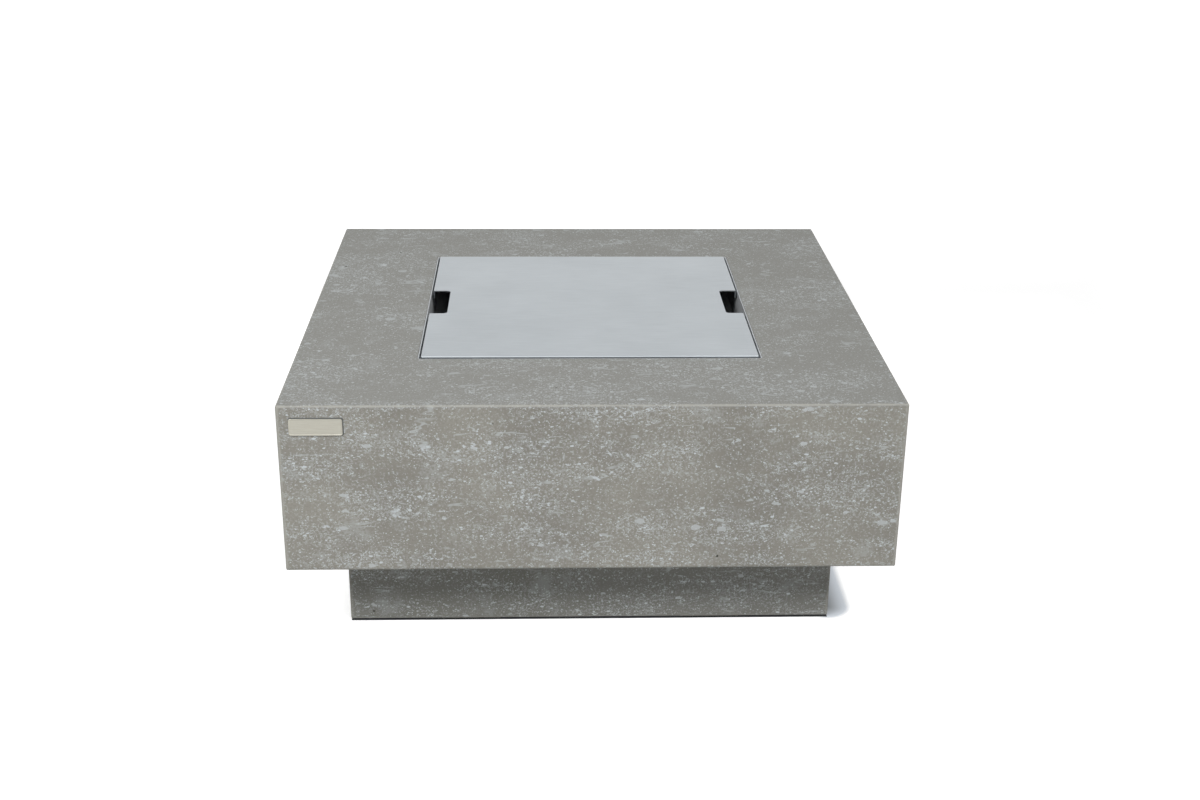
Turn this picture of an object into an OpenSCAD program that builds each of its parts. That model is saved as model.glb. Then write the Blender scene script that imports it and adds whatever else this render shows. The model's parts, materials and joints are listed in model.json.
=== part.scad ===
// Square gas fire pit table: a hollow cast block on a set-back plinth, with a lidded fire pan,
// a tube burner and a push-and-turn gas control. Millimetres, +Z up, origin on the floor under the centre.

/* [Table block] */
// Width and depth of the block
table_w = 920; // [880:5:1000]
// Height of the table top above the floor
table_h = 400; // [385:1:440]
// Height of the block
shell_h = 267; // [250:1:280]
// Thickness of the block's side walls
wall_t = 18; // [15:0.5:21]
// Thickness of the top slab
slab_t = 24; // [20:0.5:30]
// Thickness of the block's underside
soffit_t = 18; // [15:0.5:24]
// Radius of the eased outer edges
arris_r = 4; // [2:0.5:6]

/* [Plinth] */
// Overhang of the block past the plinth on each side
overhang = 82; // [65:1:95]
// Thickness of the plinth's walls
plinth_t = 22; // [19:0.5:26]
// Length of each land that the plinth stands on
land_len = 92; // [70:1:130]
// Height of the reliefs between the lands
relief_h = 2; // [1:0.5:4]
// Thickness of the foot pads
pad_t = 2; // [1:0.5:4]
// Distance from the edge of a land to its pad
pad_inset = 4; // [2:0.5:6]

/* [Brackets and bolts] */
// Length of each leg of an angle bracket
bracket_leg = 40; // [34:1:50]
// Width of an angle bracket
bracket_w = 90; // [70:1:120]
// Thickness of an angle bracket
bracket_t = 4; // [3:0.5:6]
// Distance between the two bolts in a leg
bracket_bolt_gap = 50; // [36:1:60]
// Distance from the brackets to the edge of the service opening
service_margin = 8; // [4:1:20]
// Diameter of the bolts
bolt_d = 8; // [6:0.5:10]
// Height of a bolt's head
bolt_head_h = 5.5; // [4:0.5:7]
// Depth of a bolt in the casting
bolt_depth = 11; // [8:0.5:12]

/* [Lid] */
// Gap between the lid and the pan's wall
lid_gap = 3; // [2:0.5:5]
// Thickness of the lid's sheet
lid_t = 2; // [1:0.25:3]
// Height of the lid's folded lips
lid_lip = 14; // [10:0.5:20]
// Outer radius of the lid's bends
lid_bend = 2.5; // [1.5:0.25:4]
// How far the lid stands above the table top
lid_proud = 2.5; // [1:0.5:5]
// Length of the finger notches
notch_len = 120; // [90:1:140]
// Depth of the finger notches
notch_deep = 30; // [22:1:36]
// Radius of the notches' inner corners
notch_r = 7; // [3:0.5:12]
// Leg of the corner gussets that carry the lid
rest_leg = 42; // [34:1:60]
// Thickness of those gussets
rest_t = 2; // [1.5:0.5:4]

/* [Fire pan] */
// Inside width of the fire pan
pan_in = 534; // [500:2:560]
// Inside depth of the fire pan
pan_depth = 56; // [50:1:70]
// Thickness of the pan's sheet
pan_t = 1.5; // [1:0.25:3]
// Distance from the table top down to the pan's rim
pan_drop = 0.5; // [0:0.25:2]
// Gap between the pan and the casting
pan_gap = 0.5; // [0.25:0.25:2]
// Diameter of the pan's drain holes
drain_d = 9; // [5:0.5:14]
// Distance of the drain holes from the pan's wall
drain_inset = 26; // [18:1:36]
// Width of the straps under the pan
strap_w = 40; // [30:1:60]
// Thickness of the straps
strap_t = 4; // [3:0.5:6]
// Distance of each strap from the centre
strap_y = 150; // [110:1:190]
// Length of the straps' tabs under the slab
strap_tab = 44; // [34:1:60]
// Gap between the pan's sides and the straps
strap_gap = 3; // [2:0.5:6]

/* [Burner] */
// Side of the burner ring, on the tube's centre line
burner_side = 300; // [280:2:330]
// Diameter of the ring's tube
tube_d = 19; // [17.5:0.5:22]
// Thickness of the tubes' walls
tube_t = 1.5; // [1:0.25:2]
// Radius of the ring's bends, on the tube's centre line
bend_r = 28; // [24:1:40]
// Diameter of the feed tube across the ring
feed_d = 16; // [14:0.5:17]
// Height of the ring above the pan's floor
burner_lift = 4; // [2:0.5:8]
// Diameter of the hub under the feed tube
hub_d = 34; // [30:0.5:40]
// Diameter of a gas port
port_d = 2.5; // [1.5:0.25:3.5]
// Distance between gas ports
port_gap = 24; // [16:1:40]
// Diameter of the nipple under the hub
nipple_d = 21; // [18:0.5:23]
// Bore of the nipple
nipple_bore = 15; // [12:0.5:16]
// Height of the nipple inside the hub
nipple_seat = 9; // [6:0.5:10]
// Length of the nipple below the pan
nipple_drop = 40; // [34:1:50]
// Height of the lock nuts
nut_h = 8; // [6:0.5:10]
// Diameter of the air mixer
mixer_d = 31; // [28:0.5:36]
// Length of the air mixer
mixer_len = 62; // [56:1:70]
// Depth of the nipple in the mixer
mixer_seat = 14; // [10:0.5:18]
// Width of the mixer's air windows
window_w = 9; // [6:0.5:12]
// Height of the mixer's air windows
window_h = 18; // [12:0.5:20]

/* [Gas line] */
// Diameter of the flare ends
flare_d = 15.88; // [14:0.02:17]
// Length of the flare ends
flare_len = 18; // [16:0.5:22]
// Bore of the gas fittings
gas_bore = 8; // [6:0.5:9]
// Side of the orifice elbow's body
elbow_w = 22; // [20:0.5:26]
// Diameter of the hoses
hose_d = 13; // [11:0.5:14]
// Length of the hose nuts
hose_nut_len = 16; // [14:0.5:20]
// Distance of the gas inlet to the right of the centre
inlet_x = 180; // [120:1:230]
// Height of the gas inlet above the floor
inlet_z = 66; // [45:1:85]
// Diameter of the inlet's threaded body
inlet_d = 20; // [18:0.5:22]
// Height of the hexagon flange on the inlet
inlet_hex_h = 8; // [6:0.5:10]

/* [Control panel] */
// Distance from the table top down to the middle of the control niche
ctrl_drop = 138; // [130:1:142]
// Width of the control niche
niche_w = 150; // [140:1:170]
// Height of the control niche
niche_h = 80; // [70:1:90]
// Radius of the niche's corners
niche_r = 8; // [4:0.5:14]
// Margin of the panel round the niche
panel_margin = 20; // [16:1:24]
// Thickness of the panel
panel_t = 2; // [1.5:0.25:3]
// Diameter of the panel's screws
screw_d = 5; // [4:0.5:6]
// Depth of those screws in the wall
screw_depth = 11; // [8:0.5:12]

/* [Gas control] */
// Distance of the knob in front of the niche's middle
knob_off = 34; // [30:0.5:38]
// Diameter of the knob's skirt
knob_d = 44; // [40:0.5:50]
// Height of the knob
knob_h = 20; // [18:0.5:23]
// Travel of the knob when it is pushed
knob_push = 3.5; // [2:0.25:4]
// Diameter of the bezel behind the knob
bezel_d = 54; // [50:0.5:60]
// Thickness of the bezel
bezel_t = 1.2; // [1:0.1:2]
// Diameter of the valve's threaded neck
neck_d = 14; // [12:0.5:16]
// Height of the nut on that neck
neck_nut_h = 3.5; // [3:0.25:4]
// Diameter of the valve's barrel
valve_d = 32; // [28:0.5:36]
// Length of the valve's barrel
valve_len = 54; // [52:1:60]
// Thickness of the barrel's two end walls
valve_end = 10; // [8:0.5:11]
// Diameter of the turning plug
plug_d = 16; // [14:0.5:18]
// Length of the turning plug
plug_len = 26; // [24:0.5:27]
// Diameter of the stem
stem_d = 8; // [6.5:0.5:9]
// Thickness cut away at the stem's flat
stem_flat = 1; // [0.5:0.25:1.5]
// Depth of the stem in the plug
stem_seat = 9; // [7:0.5:10]
// Thickness of the collar that keeps the stem in
collar_t = 2; // [1.5:0.25:2.5]
// Distance of the inlet port below the valve's axis
inlet_port_drop = 27; // [26:0.5:30]
// Distance of the sensor port above the valve's axis
sensor_port_rise = 24; // [23:0.5:26]
// Diameter of the sensor port
sensor_port_d = 10; // [8:0.5:11]

/* [Igniter] */
// Distance of the igniter behind the niche's middle
igniter_off = 42; // [38:0.5:46]
// Diameter of the igniter's body
igniter_d = 28; // [25:0.5:32]
// Diameter of the igniter's threaded neck
igniter_neck_d = 21.6; // [20.5:0.1:23]
// Diameter of the battery
battery_d = 14.5; // [14:0.1:15]
// Length of the battery
battery_len = 50.5; // [50:0.1:51]
// Diameter of the button
button_d = 14.4; // [12:0.2:15]
// Height of the button above its nut
button_h = 5; // [4:0.25:7]
// Travel of the button
button_push = 4; // [2:0.25:5]
// Thickness of the button's flange
button_flange = 3; // [2:0.25:4]

/* [Spark and flame sensing] */
// Gap between the burner ring and the sensor bracket
sensor_gap = 9; // [6:0.5:12]
// Distance of the spark electrode and the flame sensor from the bracket's middle
sensor_pitch = 14; // [11:0.5:16]
// Length of the sensor bracket
sensor_plate_len = 62; // [56:1:70]
// Width of the sensor bracket
sensor_plate_w = 20; // [18:0.5:24]
// Thickness of the sensor bracket
sensor_plate_t = 1.5; // [1:0.25:2]
// Height of the sensor bracket's shield
shield_h = 28; // [20:1:34]
// Diameter of the electrode's insulator
insulator_d = 8; // [6:0.5:9]
// Diameter of the flame sensor
sensor_d = 6; // [5:0.5:8]
// Diameter of the collars on both
collar_d = 13; // [11:0.5:14]
// Height of both above the pan's floor
sensor_rise = 24; // [20:1:30]
// Length of both below the pan
sensor_drop = 16; // [12:1:22]
// Diameter of the leads
lead_d = 4; // [3:0.25:5]

/* [Lava rocks] */
// Largest width of a rock
rock_d = 40; // [34:1:46]
// Lowest rock
rock_low = 25; // [20:1:30]
// Highest rock
rock_high = 40; // [32:1:42]
// Least gap between rocks and what lies beside them
rock_gap = 1; // [0.5:0.5:3]

/* [Hidden] */
$fn = 48;

// Reach of a cut past the face that it opens
cut = 1;
// Radial clearance of a fixed fit and of a running fit
fit = 0.1;
run_fit = 0.08;
// Clearance round a bolt or a fitting in a plate or casting
hole_fit = 0.25;
// Gap under a moving piece at its stop
stop_gap = 0.2;

// Colours of the finishes
concrete = "#94938e";
stainless = "#b9bec2";
zinc = "#a3a6a6";
brass = "#b99a55";
black = "#2a2a2b";

// Levels of the block and the plinth
half_w = table_w / 2;
shell_z = table_h - shell_h;
soffit_top = shell_z + soffit_t;
slab_z = table_h - slab_t;
plinth_w = table_w - 2 * overhang;
plinth_in = plinth_w - 2 * plinth_t;
service_w = plinth_in - 2 * (bracket_leg + service_margin);
land_mid = plinth_w / 4;

// Blank badge plate on the front face
badge_w = 78;
badge_h = 26;
badge_t = 1.6;
badge_r = 2.5;
badge_side = 18;
badge_top = 20;

// Pan and lid
pan_w = pan_in + 2 * pan_t;
opening_w = pan_w + 2 * pan_gap;
pan_top = table_h - pan_drop;
pan_floor = pan_top - pan_depth;
pan_under = pan_floor - pan_t;
lid_w = pan_in - 2 * lid_gap;
lid_top = table_h + lid_proud;
lid_foot = lid_top - lid_lip;
strap_in = pan_w / 2 + strap_gap;
strap_out = strap_in + strap_t;
strap_bolt_x = strap_out + strap_tab / 2;

// Bolts
bolt_hex_d = 1.9 * bolt_d;
bolt_flange_d = 2.3 * bolt_d;
bolt_flange_h = 0.3 * bolt_head_h;
bracket_bolt_in = bracket_t + (bracket_leg - bracket_t) / 2;

// Burner and mixer
ring_half = burner_side / 2;
ring_run = burner_side - 2 * bend_r;
burner_z = pan_floor + burner_lift + tube_d / 2;
nipple_top = pan_floor + nipple_seat;
nipple_foot = pan_under - nipple_drop;
mixer_top = nipple_foot + mixer_seat;
mixer_foot = mixer_top - mixer_len;
jet_d = 12;
jet_seat = 12;
elbow_z = mixer_foot - elbow_w / 2;
elbow_end = elbow_w / 2 + flare_len;
lock_nut_rim = 15;
lock_nut_d = nipple_d + lock_nut_rim;

// Control panel and valve, measured from the wall's inner face
ctrl_z = table_h - ctrl_drop;
panel_x = half_w - wall_t;
panel_back = panel_x - panel_t;
panel_w = niche_w + 2 * panel_margin;
panel_h = niche_h + 2 * panel_margin;
screw_y = panel_w / 2 - panel_margin / 2;
screw_z = panel_h / 2 - panel_margin / 2;
screw_head_d = 1.8 * screw_d;
screw_head_h = 0.6 * screw_d;
knob_y = -knob_off;
bezel_x = panel_x + bezel_t;
neck_nut_x = bezel_x + neck_nut_h;
neck_end = neck_nut_x + 1;
neck_nut_d = neck_d + 9;
knob_x = bezel_x + knob_push + 0.8;
knob_front = knob_x + knob_h;
knob_face_t = 3;
knob_hub_x = neck_end + knob_push + 0.5;
knob_hub_d = stem_d + 8;
stem_front = knob_front - knob_face_t - fit;
valve_rear = panel_back - valve_len;
chamber_front = panel_back - valve_end;
chamber_rear = valve_rear + valve_end;
plug_rear = chamber_rear + stop_gap;
plug_front = plug_rear + plug_len;
collar_front = chamber_front - stop_gap;
valve_collar_d = stem_d + 4;
stem_rear = plug_front - stem_seat;
socket_depth = stem_seat + knob_push + 0.5;
port_end = valve_rear - flare_len;
inlet_port_z = ctrl_z - inlet_port_drop;
sensor_port_z = ctrl_z + sensor_port_rise;
valve_lobe_d = flare_d + 5;
sensor_lobe_d = sensor_port_d + 4;
lobe_len = 30;

// Igniter
igniter_y = igniter_off;
igniter_wall = 3;
igniter_bore = battery_d + 2.8;
igniter_neck_len = 8;
igniter_lip = 1.8;
neck_front = panel_x + igniter_neck_len;
igniter_nut_front = neck_front + stop_gap + igniter_lip;
igniter_nut_d = igniter_neck_d + 8.4;
button_back = neck_front - button_flange;
battery_nub = 1.2;
battery_front = button_back - button_push - 2.5;
battery_rear = battery_front - battery_len;
igniter_rear = battery_rear - stop_gap - igniter_wall;
terminal_d = 5;
terminal_len = 8;

// Spark and flame sensing
sensor_x = ring_half - tube_d / 2 - sensor_gap - sensor_plate_w / 2;
sensor_base = pan_floor + sensor_plate_t;
sensor_collar_h = 4;
sensor_low = pan_under - sensor_drop;
sensor_high = pan_floor + sensor_rise;
rivet_d = 4;
rivet_head_d = 7;
rivet_head_h = 1.2;
rivet_y = sensor_plate_len / 2 - rivet_head_d / 2 - 1;
tip_d = 2.4;
tip_reach = 8;
tip_seat = 6;
tip_rise = 7;

// Gas inlet through the back of the plinth
inlet_face = plinth_w / 2;
inlet_inner = inlet_face - plinth_t;
inlet_body_end = inlet_inner - nut_h - 4;
inlet_tail = inlet_body_end - flare_len;
inlet_tip = inlet_face + inlet_hex_h + flare_len;
inlet_hex_d = inlet_d + 11;

// Round the hoses bend with, as handles of their curves
hose_handle_len = 150;
lead_handle_len = 90;

// Rectangle with round corners, centred
module rounded_rect(w, d, r) {
  square([w - 2 * r, d], center = true);
  square([w, d - 2 * r], center = true);
  for (x = [-1, 1], y = [-1, 1])
    translate([x * (w / 2 - r), y * (d / 2 - r)]) circle(r);
}

// Block standing on z = 0 with every edge eased
module eased_block(w, d, h, r) {
  translate([0, 0, h / 2]) intersection() {
    linear_extrude(h, center = true) rounded_rect(w, d, r);
    rotate([90, 0, 0]) linear_extrude(d, center = true) rounded_rect(w, h, r);
    rotate([90, 0, 90]) linear_extrude(w, center = true) rounded_rect(d, h, r);
  }
}

// Square plate on z = 0, centred
module square_prism(w, h) {
  linear_extrude(h) square(w, center = true);
}

// Hexagon prism across its corners
module hex_prism(d, h) {
  cylinder(d = d, h = h, $fn = 6);
}

// Cylinder along +X from x0 to x1
module rod_x(d, x0, x1) {
  translate([x0, 0, 0]) rotate([0, 90, 0]) cylinder(d = d, h = x1 - x0);
}

// Cylinder along +Y from y0 to y1
module rod_y(d, y0, y1) {
  translate([0, y0, 0]) rotate([-90, 0, 0]) cylinder(d = d, h = y1 - y0);
}

// Cylinder along +Z from z0 to z1
module rod_z(d, z0, z1) {
  translate([0, 0, z0]) cylinder(d = d, h = z1 - z0);
}

// Flange bolt whose seat is z = 0 and whose shank runs up
module flange_bolt(d, len, hex_d, flange_d, head_h, flange_h) {
  cylinder(d = d, h = len);
  translate([0, 0, -flange_h]) cylinder(d = flange_d, h = flange_h);
  translate([0, 0, -head_h]) hex_prism(hex_d, head_h - flange_h);
}

// One child at the middle of each of the four sides
module four_sides() {
  for (turn = [0:90:270]) rotate([0, 0, turn]) children();
}

// Cast block
module table_shell() {
  color(concrete) difference() {
    translate([0, 0, shell_z]) eased_block(table_w, table_w, shell_h, arris_r);
    translate([0, 0, soffit_top]) square_prism(table_w - 2 * wall_t, slab_z - soffit_top);
    translate([0, 0, slab_z - cut]) square_prism(opening_w, slab_t + 2 * cut);
    translate([0, 0, shell_z - cut]) square_prism(service_w, soffit_t + 2 * cut);
    translate([panel_x - cut, 0, ctrl_z]) rotate([90, 0, 90])
      linear_extrude(wall_t + 2 * cut) rounded_rect(niche_w, niche_h, niche_r);
    four_sides() soffit_bolts() rod_z(bolt_d + 2 * hole_fit, -cut, bolt_depth + bracket_t + hole_fit);
    at_strap_bolts() rod_z(bolt_d + 2 * hole_fit, -cut, bolt_depth + strap_t + hole_fit);
    at_panel_screws() rod_x(screw_d + 2 * hole_fit, -cut, panel_t + screw_depth + hole_fit);
  }
}

// Places of the bolts that go up through an angle bracket into the soffit
module soffit_bolts() {
  for (side = [-1, 1])
    translate([plinth_in / 2 - bracket_bolt_in, side * bracket_bolt_gap / 2, shell_z - bracket_t]) children();
}

// Places of the bolts that go out through an angle bracket into the plinth
module plinth_bolts() {
  for (side = [-1, 1])
    translate([plinth_in / 2 - bracket_t, side * bracket_bolt_gap / 2, shell_z - bracket_bolt_in])
      rotate([0, 90, 0]) children();
}

// Places of the bolts in the straps' tabs
module at_strap_bolts() {
  for (x = [-1, 1], y = [-1, 1])
    translate([x * strap_bolt_x, y * strap_y, slab_z - strap_t]) children();
}

// Places of the panel's screws, on the panel's back
module at_panel_screws() {
  for (y = [-1, 1], z = [-1, 1])
    translate([panel_back, y * screw_y, ctrl_z + z * screw_z]) children();
}

// Lands on one side of the plinth, as boxes through its wall
module side_lands() {
  for (side = [-1, 1])
    translate([plinth_w / 2 - plinth_t / 2, side * land_mid, pad_t - cut])
      linear_extrude(relief_h + 2 * cut) square([plinth_t + 4 * cut, land_len], center = true);
}

// Cast plinth
module plinth() {
  color(concrete) difference() {
    translate([0, 0, pad_t]) eased_block(plinth_w, plinth_w, shell_z - pad_t + arris_r, arris_r);
    translate([0, 0, shell_z]) square_prism(plinth_w + 2 * cut, 2 * arris_r);
    square_prism(plinth_in, shell_z + cut);
    difference() {
      square_prism(plinth_w + 2 * cut, pad_t + relief_h);
      four_sides() side_lands();
    }
    four_sides() plinth_bolts() rod_z(bolt_d + 2 * hole_fit, -cut, bolt_depth + bracket_t + hole_fit);
    translate([inlet_x, 0, inlet_z]) rod_y(inlet_d + 2 * hole_fit, inlet_inner - cut, inlet_face + cut);
  }
}

// Rubber pads under the lands
module foot_pads() {
  color(black) four_sides() for (side = [-1, 1])
    translate([plinth_w / 2 - plinth_t / 2, side * land_mid, 0]) linear_extrude(pad_t)
      square([plinth_t - 2 * pad_inset, land_len - 2 * pad_inset], center = true);
}

// Angle brackets between the plinth and the soffit
module angle_brackets() {
  profile = [[0, 0], [-bracket_leg, 0], [-bracket_leg, -bracket_t], [-bracket_t, -bracket_t],
    [-bracket_t, -bracket_leg], [0, -bracket_leg]];
  color(zinc) four_sides() difference() {
    translate([plinth_in / 2, 0, shell_z]) rotate([90, 0, 0])
      linear_extrude(bracket_w, center = true) polygon(profile);
    soffit_bolts() rod_z(bolt_d + 2 * hole_fit, -cut, bracket_t + cut);
    plinth_bolts() rod_z(bolt_d + 2 * hole_fit, -cut, bracket_t + cut);
  }
}

// Bolts of the angle brackets
module bracket_bolts() {
  color(zinc) four_sides() {
    soffit_bolts()
      flange_bolt(bolt_d, bolt_depth + bracket_t, bolt_hex_d, bolt_flange_d, bolt_head_h, bolt_flange_h);
    plinth_bolts()
      flange_bolt(bolt_d, bolt_depth + bracket_t, bolt_hex_d, bolt_flange_d, bolt_head_h, bolt_flange_h);
  }
}

// Blank badge plate
module badge_plate() {
  color("#b8b3aa")
    translate([badge_side + badge_w / 2 - half_w, -half_w, table_h - badge_top - badge_h / 2])
      rotate([90, 0, 0]) linear_extrude(badge_t) rounded_rect(badge_w, badge_h, badge_r);
}

// Folded lid with two finger notches
module lid() {
  color(stainless) translate([0, 0, lid_foot]) difference() {
    translate([0, 0, -lid_bend]) eased_block(lid_w, lid_w, lid_lip + lid_bend, lid_bend);
    translate([0, 0, -2 * lid_bend]) square_prism(lid_w + 2 * cut, 2 * lid_bend);
    translate([0, 0, -cut]) square_prism(lid_w - 2 * lid_t, lid_lip - lid_t + cut);
    for (side = [-1, 1]) translate([side * lid_w / 2, 0, -cut])
      linear_extrude(lid_lip + 2 * cut) rounded_rect(2 * notch_deep, notch_len, notch_r);
  }
}

// Sheet pan that holds the burner and the rocks
module fire_pan() {
  drain = pan_in / 2 - drain_inset;
  color(stainless) difference() {
    translate([0, 0, pan_under]) square_prism(pan_w, pan_top - pan_under);
    translate([0, 0, pan_floor]) square_prism(pan_in, pan_depth + cut);
    translate([0, 0, pan_under]) {
      rod_z(nipple_d + 2 * hole_fit, -cut, pan_t + cut);
      four_sides() translate([drain, drain, 0]) rod_z(drain_d, -cut, pan_t + cut);
      sensor_holes(pan_t);
    }
  }
}

// Holes for the electrode, the flame sensor and the rivets through a sheet on z = 0
module sensor_holes(t) {
  translate([sensor_x, sensor_pitch, 0]) rod_z(insulator_d + 2 * hole_fit, -cut, t + cut);
  translate([sensor_x, -sensor_pitch, 0]) rod_z(sensor_d + 2 * hole_fit, -cut, t + cut);
  for (side = [-1, 1]) translate([sensor_x, side * rivet_y, 0]) rod_z(rivet_d + 2 * fit, -cut, t + cut);
}

// Corner gussets that the lid stands on
module lid_rests() {
  corner = pan_in / 2;
  gusset = [[corner - rest_leg, corner], [corner, corner], [corner, corner - rest_leg]];
  color(stainless) four_sides() translate([0, 0, lid_foot - stop_gap - rest_t])
    linear_extrude(rest_t) polygon(gusset);
}

// Bent straps that carry the pan
module pan_straps() {
  low = pan_under - strap_t;
  tab = slab_z - strap_t;
  end = strap_out + strap_tab;
  profile = [[-end, slab_z], [-strap_in, slab_z], [-strap_in, pan_under], [strap_in, pan_under],
    [strap_in, slab_z], [end, slab_z], [end, tab], [strap_out, tab], [strap_out, low],
    [-strap_out, low], [-strap_out, tab], [-end, tab]];
  color(zinc) difference() {
    for (side = [-1, 1]) translate([0, side * strap_y, 0]) rotate([90, 0, 0])
      linear_extrude(strap_w, center = true) polygon(profile);
    at_strap_bolts() rod_z(bolt_d + 2 * hole_fit, -cut, strap_t + cut);
  }
}

// Bolts of the straps
module strap_bolts() {
  color(zinc) at_strap_bolts()
    flange_bolt(bolt_d, bolt_depth + strap_t, bolt_hex_d, bolt_flange_d, bolt_head_h, bolt_flange_h);
}

// Square ring of tube, straight runs and quarter bends, with a feed tube across it
module ring_and_feed(ring_d, across_d) {
  for (turn = [0:90:270]) rotate([0, 0, turn]) {
    translate([ring_half, 0, 0]) rotate([90, 0, 0]) cylinder(d = ring_d, h = ring_run, center = true);
    translate([ring_run / 2, ring_run / 2, 0]) rotate_extrude(angle = 90)
      translate([bend_r, 0]) circle(d = ring_d);
  }
  rotate([90, 0, 0]) cylinder(d = across_d, h = burner_side, center = true);
}

// Places of the gas ports along a run of tube, away from its ends
function port_places(run) = let (count = floor(run / port_gap), start = -(count - 1) / 2)
  [for (i = [0:count - 1]) (start + i) * port_gap];

// Tube burner: ring, feed tube, hub and gas ports
module burner() {
  feed_run = burner_side / 2 - tube_d / 2 - hub_d / 2;
  feed_mid = hub_d / 2 + feed_run / 2;
  color(stainless) difference() {
    union() {
      translate([0, 0, burner_z]) ring_and_feed(tube_d, feed_d);
      rod_z(hub_d, pan_floor, burner_z + feed_d / 2 + 2);
    }
    translate([0, 0, burner_z]) ring_and_feed(tube_d - 2 * tube_t, feed_d - 2 * tube_t);
    rod_z(nipple_d + 2 * fit, pan_floor - cut, nipple_top + fit);
    rod_z(nipple_bore, pan_floor, burner_z);
    four_sides() for (y = port_places(ring_run)) translate([ring_half, y, burner_z])
      cylinder(d = port_d, h = tube_d);
    for (side = [-1, 1], y = port_places(feed_run)) translate([0, side * feed_mid + y, burner_z])
      cylinder(d = port_d, h = tube_d);
  }
}

// Pipe nipple between the burner's hub and the mixer
module burner_nipple() {
  color(zinc) difference() {
    rod_z(nipple_d, nipple_foot, nipple_top);
    rod_z(nipple_bore, nipple_foot - cut, nipple_top + cut);
  }
}

// Lock nut under the pan
module burner_lock_nut() {
  color(zinc) translate([0, 0, pan_under - nut_h]) difference() {
    hex_prism(lock_nut_d, nut_h);
    rod_z(nipple_d + 2 * fit, -cut, nut_h + cut);
  }
}

// Air mixer with four windows
module air_mixer() {
  window_mid = mixer_foot + jet_seat + window_h / 2 + 4;
  color(zinc) difference() {
    rod_z(mixer_d, mixer_foot, mixer_top);
    rod_z(nipple_d + 2 * fit, nipple_foot - fit, mixer_top + cut);
    rod_z(nipple_bore, mixer_foot + jet_seat, nipple_foot);
    rod_z(jet_d + 2 * fit, mixer_foot - cut, mixer_foot + jet_seat + cut);
    translate([0, 0, window_mid]) for (turn = [0, 90]) rotate([0, 0, turn])
      cube([mixer_d + 2 * cut, window_w, window_h], center = true);
  }
}

// Brass elbow with the gas orifice
module orifice_elbow() {
  spud_d = 7;
  spud_h = 8;
  jet_bore = 1.6;
  color(brass) difference() {
    union() {
      translate([0, 0, elbow_z - elbow_w / 2]) eased_block(elbow_w, elbow_w, elbow_w, 2);
      rod_z(jet_d, elbow_z, mixer_foot + jet_seat - fit);
      rod_z(spud_d, elbow_z, mixer_foot + jet_seat + spud_h);
      translate([0, 0, elbow_z]) rod_x(flare_d, 0, elbow_end);
    }
    translate([0, 0, elbow_z]) rod_x(gas_bore, 0, elbow_end + cut);
    rod_z(gas_bore / 2, elbow_z, mixer_foot + jet_seat);
    rod_z(jet_bore, mixer_foot, mixer_foot + jet_seat + spud_h + cut);
  }
}

// Point and direction on a cubic curve with four handles
function curve_point(h, t) = pow(1 - t, 3) * h[0] + 3 * pow(1 - t, 2) * t * h[1]
  + 3 * (1 - t) * t * t * h[2] + pow(t, 3) * h[3];
function curve_run(h, t) = 3 * pow(1 - t, 2) * (h[1] - h[0]) + 6 * (1 - t) * t * (h[2] - h[1])
  + 3 * t * t * (h[3] - h[2]);
function unit(v) = v / norm(v);

// Ring of points round a place on the curve; across is never along the curve
function curve_ring(h, t, r, sides, across) =
  let (way = unit(curve_run(h, t)), u = unit(cross(way, across)), v = cross(way, u))
  [for (i = [0:sides - 1]) curve_point(h, t) + r * (cos(360 * i / sides) * u + sin(360 * i / sides) * v)];

// Flexible tube along a cubic curve
module curved_tube(h, d, rings, sides, across) {
  points = [for (k = [0:rings], p = curve_ring(h, k / rings, d / 2, sides, across)) p];
  walls = [for (k = [0:rings - 1], i = [0:sides - 1])
    let (j = (i + 1) % sides, a = k * sides, b = a + sides)
    each [[a + i, b + j, b + i], [a + i, a + j, b + j]]];
  start = [for (i = [sides - 1:-1:0]) i];
  end = [for (i = [0:sides - 1]) rings * sides + i];
  polyhedron(points, concat(walls, [start, end]), convexity = 6);
}

// Handles of the gas lines and the leads
burner_hose_route = [[elbow_end, 0, elbow_z], [elbow_end + hose_handle_len, 0, elbow_z],
  [port_end - hose_handle_len, knob_y, ctrl_z], [port_end, knob_y, ctrl_z]];
supply_hose_route = [[inlet_x, inlet_tail, inlet_z],
  [inlet_x, inlet_tail - 1.3 * hose_handle_len, inlet_z],
  [port_end - hose_handle_len, knob_y, inlet_port_z], [port_end, knob_y, inlet_port_z]];
ignition_lead_route = [[sensor_x, sensor_pitch, sensor_low],
  [sensor_x, sensor_pitch, sensor_low - lead_handle_len],
  [igniter_rear - terminal_len - lead_handle_len, igniter_y, ctrl_z],
  [igniter_rear - terminal_len, igniter_y, ctrl_z]];
sensor_lead_route = [[sensor_x, -sensor_pitch, sensor_low],
  [sensor_x, -sensor_pitch, sensor_low - lead_handle_len],
  [port_end - lead_handle_len, knob_y, sensor_port_z], [port_end, knob_y, sensor_port_z]];

// Hose from the valve to the burner
module burner_hose() {
  color(zinc) curved_tube(burner_hose_route, hose_d, 24, 12, [0, 1, 0]);
}

// Hose from the inlet to the valve
module supply_hose() {
  color(black) curved_tube(supply_hose_route, hose_d, 28, 12, [0, 0, 1]);
}

// Swivel nut over a flare end that points along +Z and ends at z = 0
module swivel_nut() {
  hold = hose_nut_len - 4;
  difference() {
    translate([0, 0, -hold]) hex_prism(flare_d + 7, hose_nut_len);
    rod_z(flare_d + 2 * fit, -hold - cut, fit);
    rod_z(hose_d + 2 * hole_fit, 0, hose_nut_len);
  }
}

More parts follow.
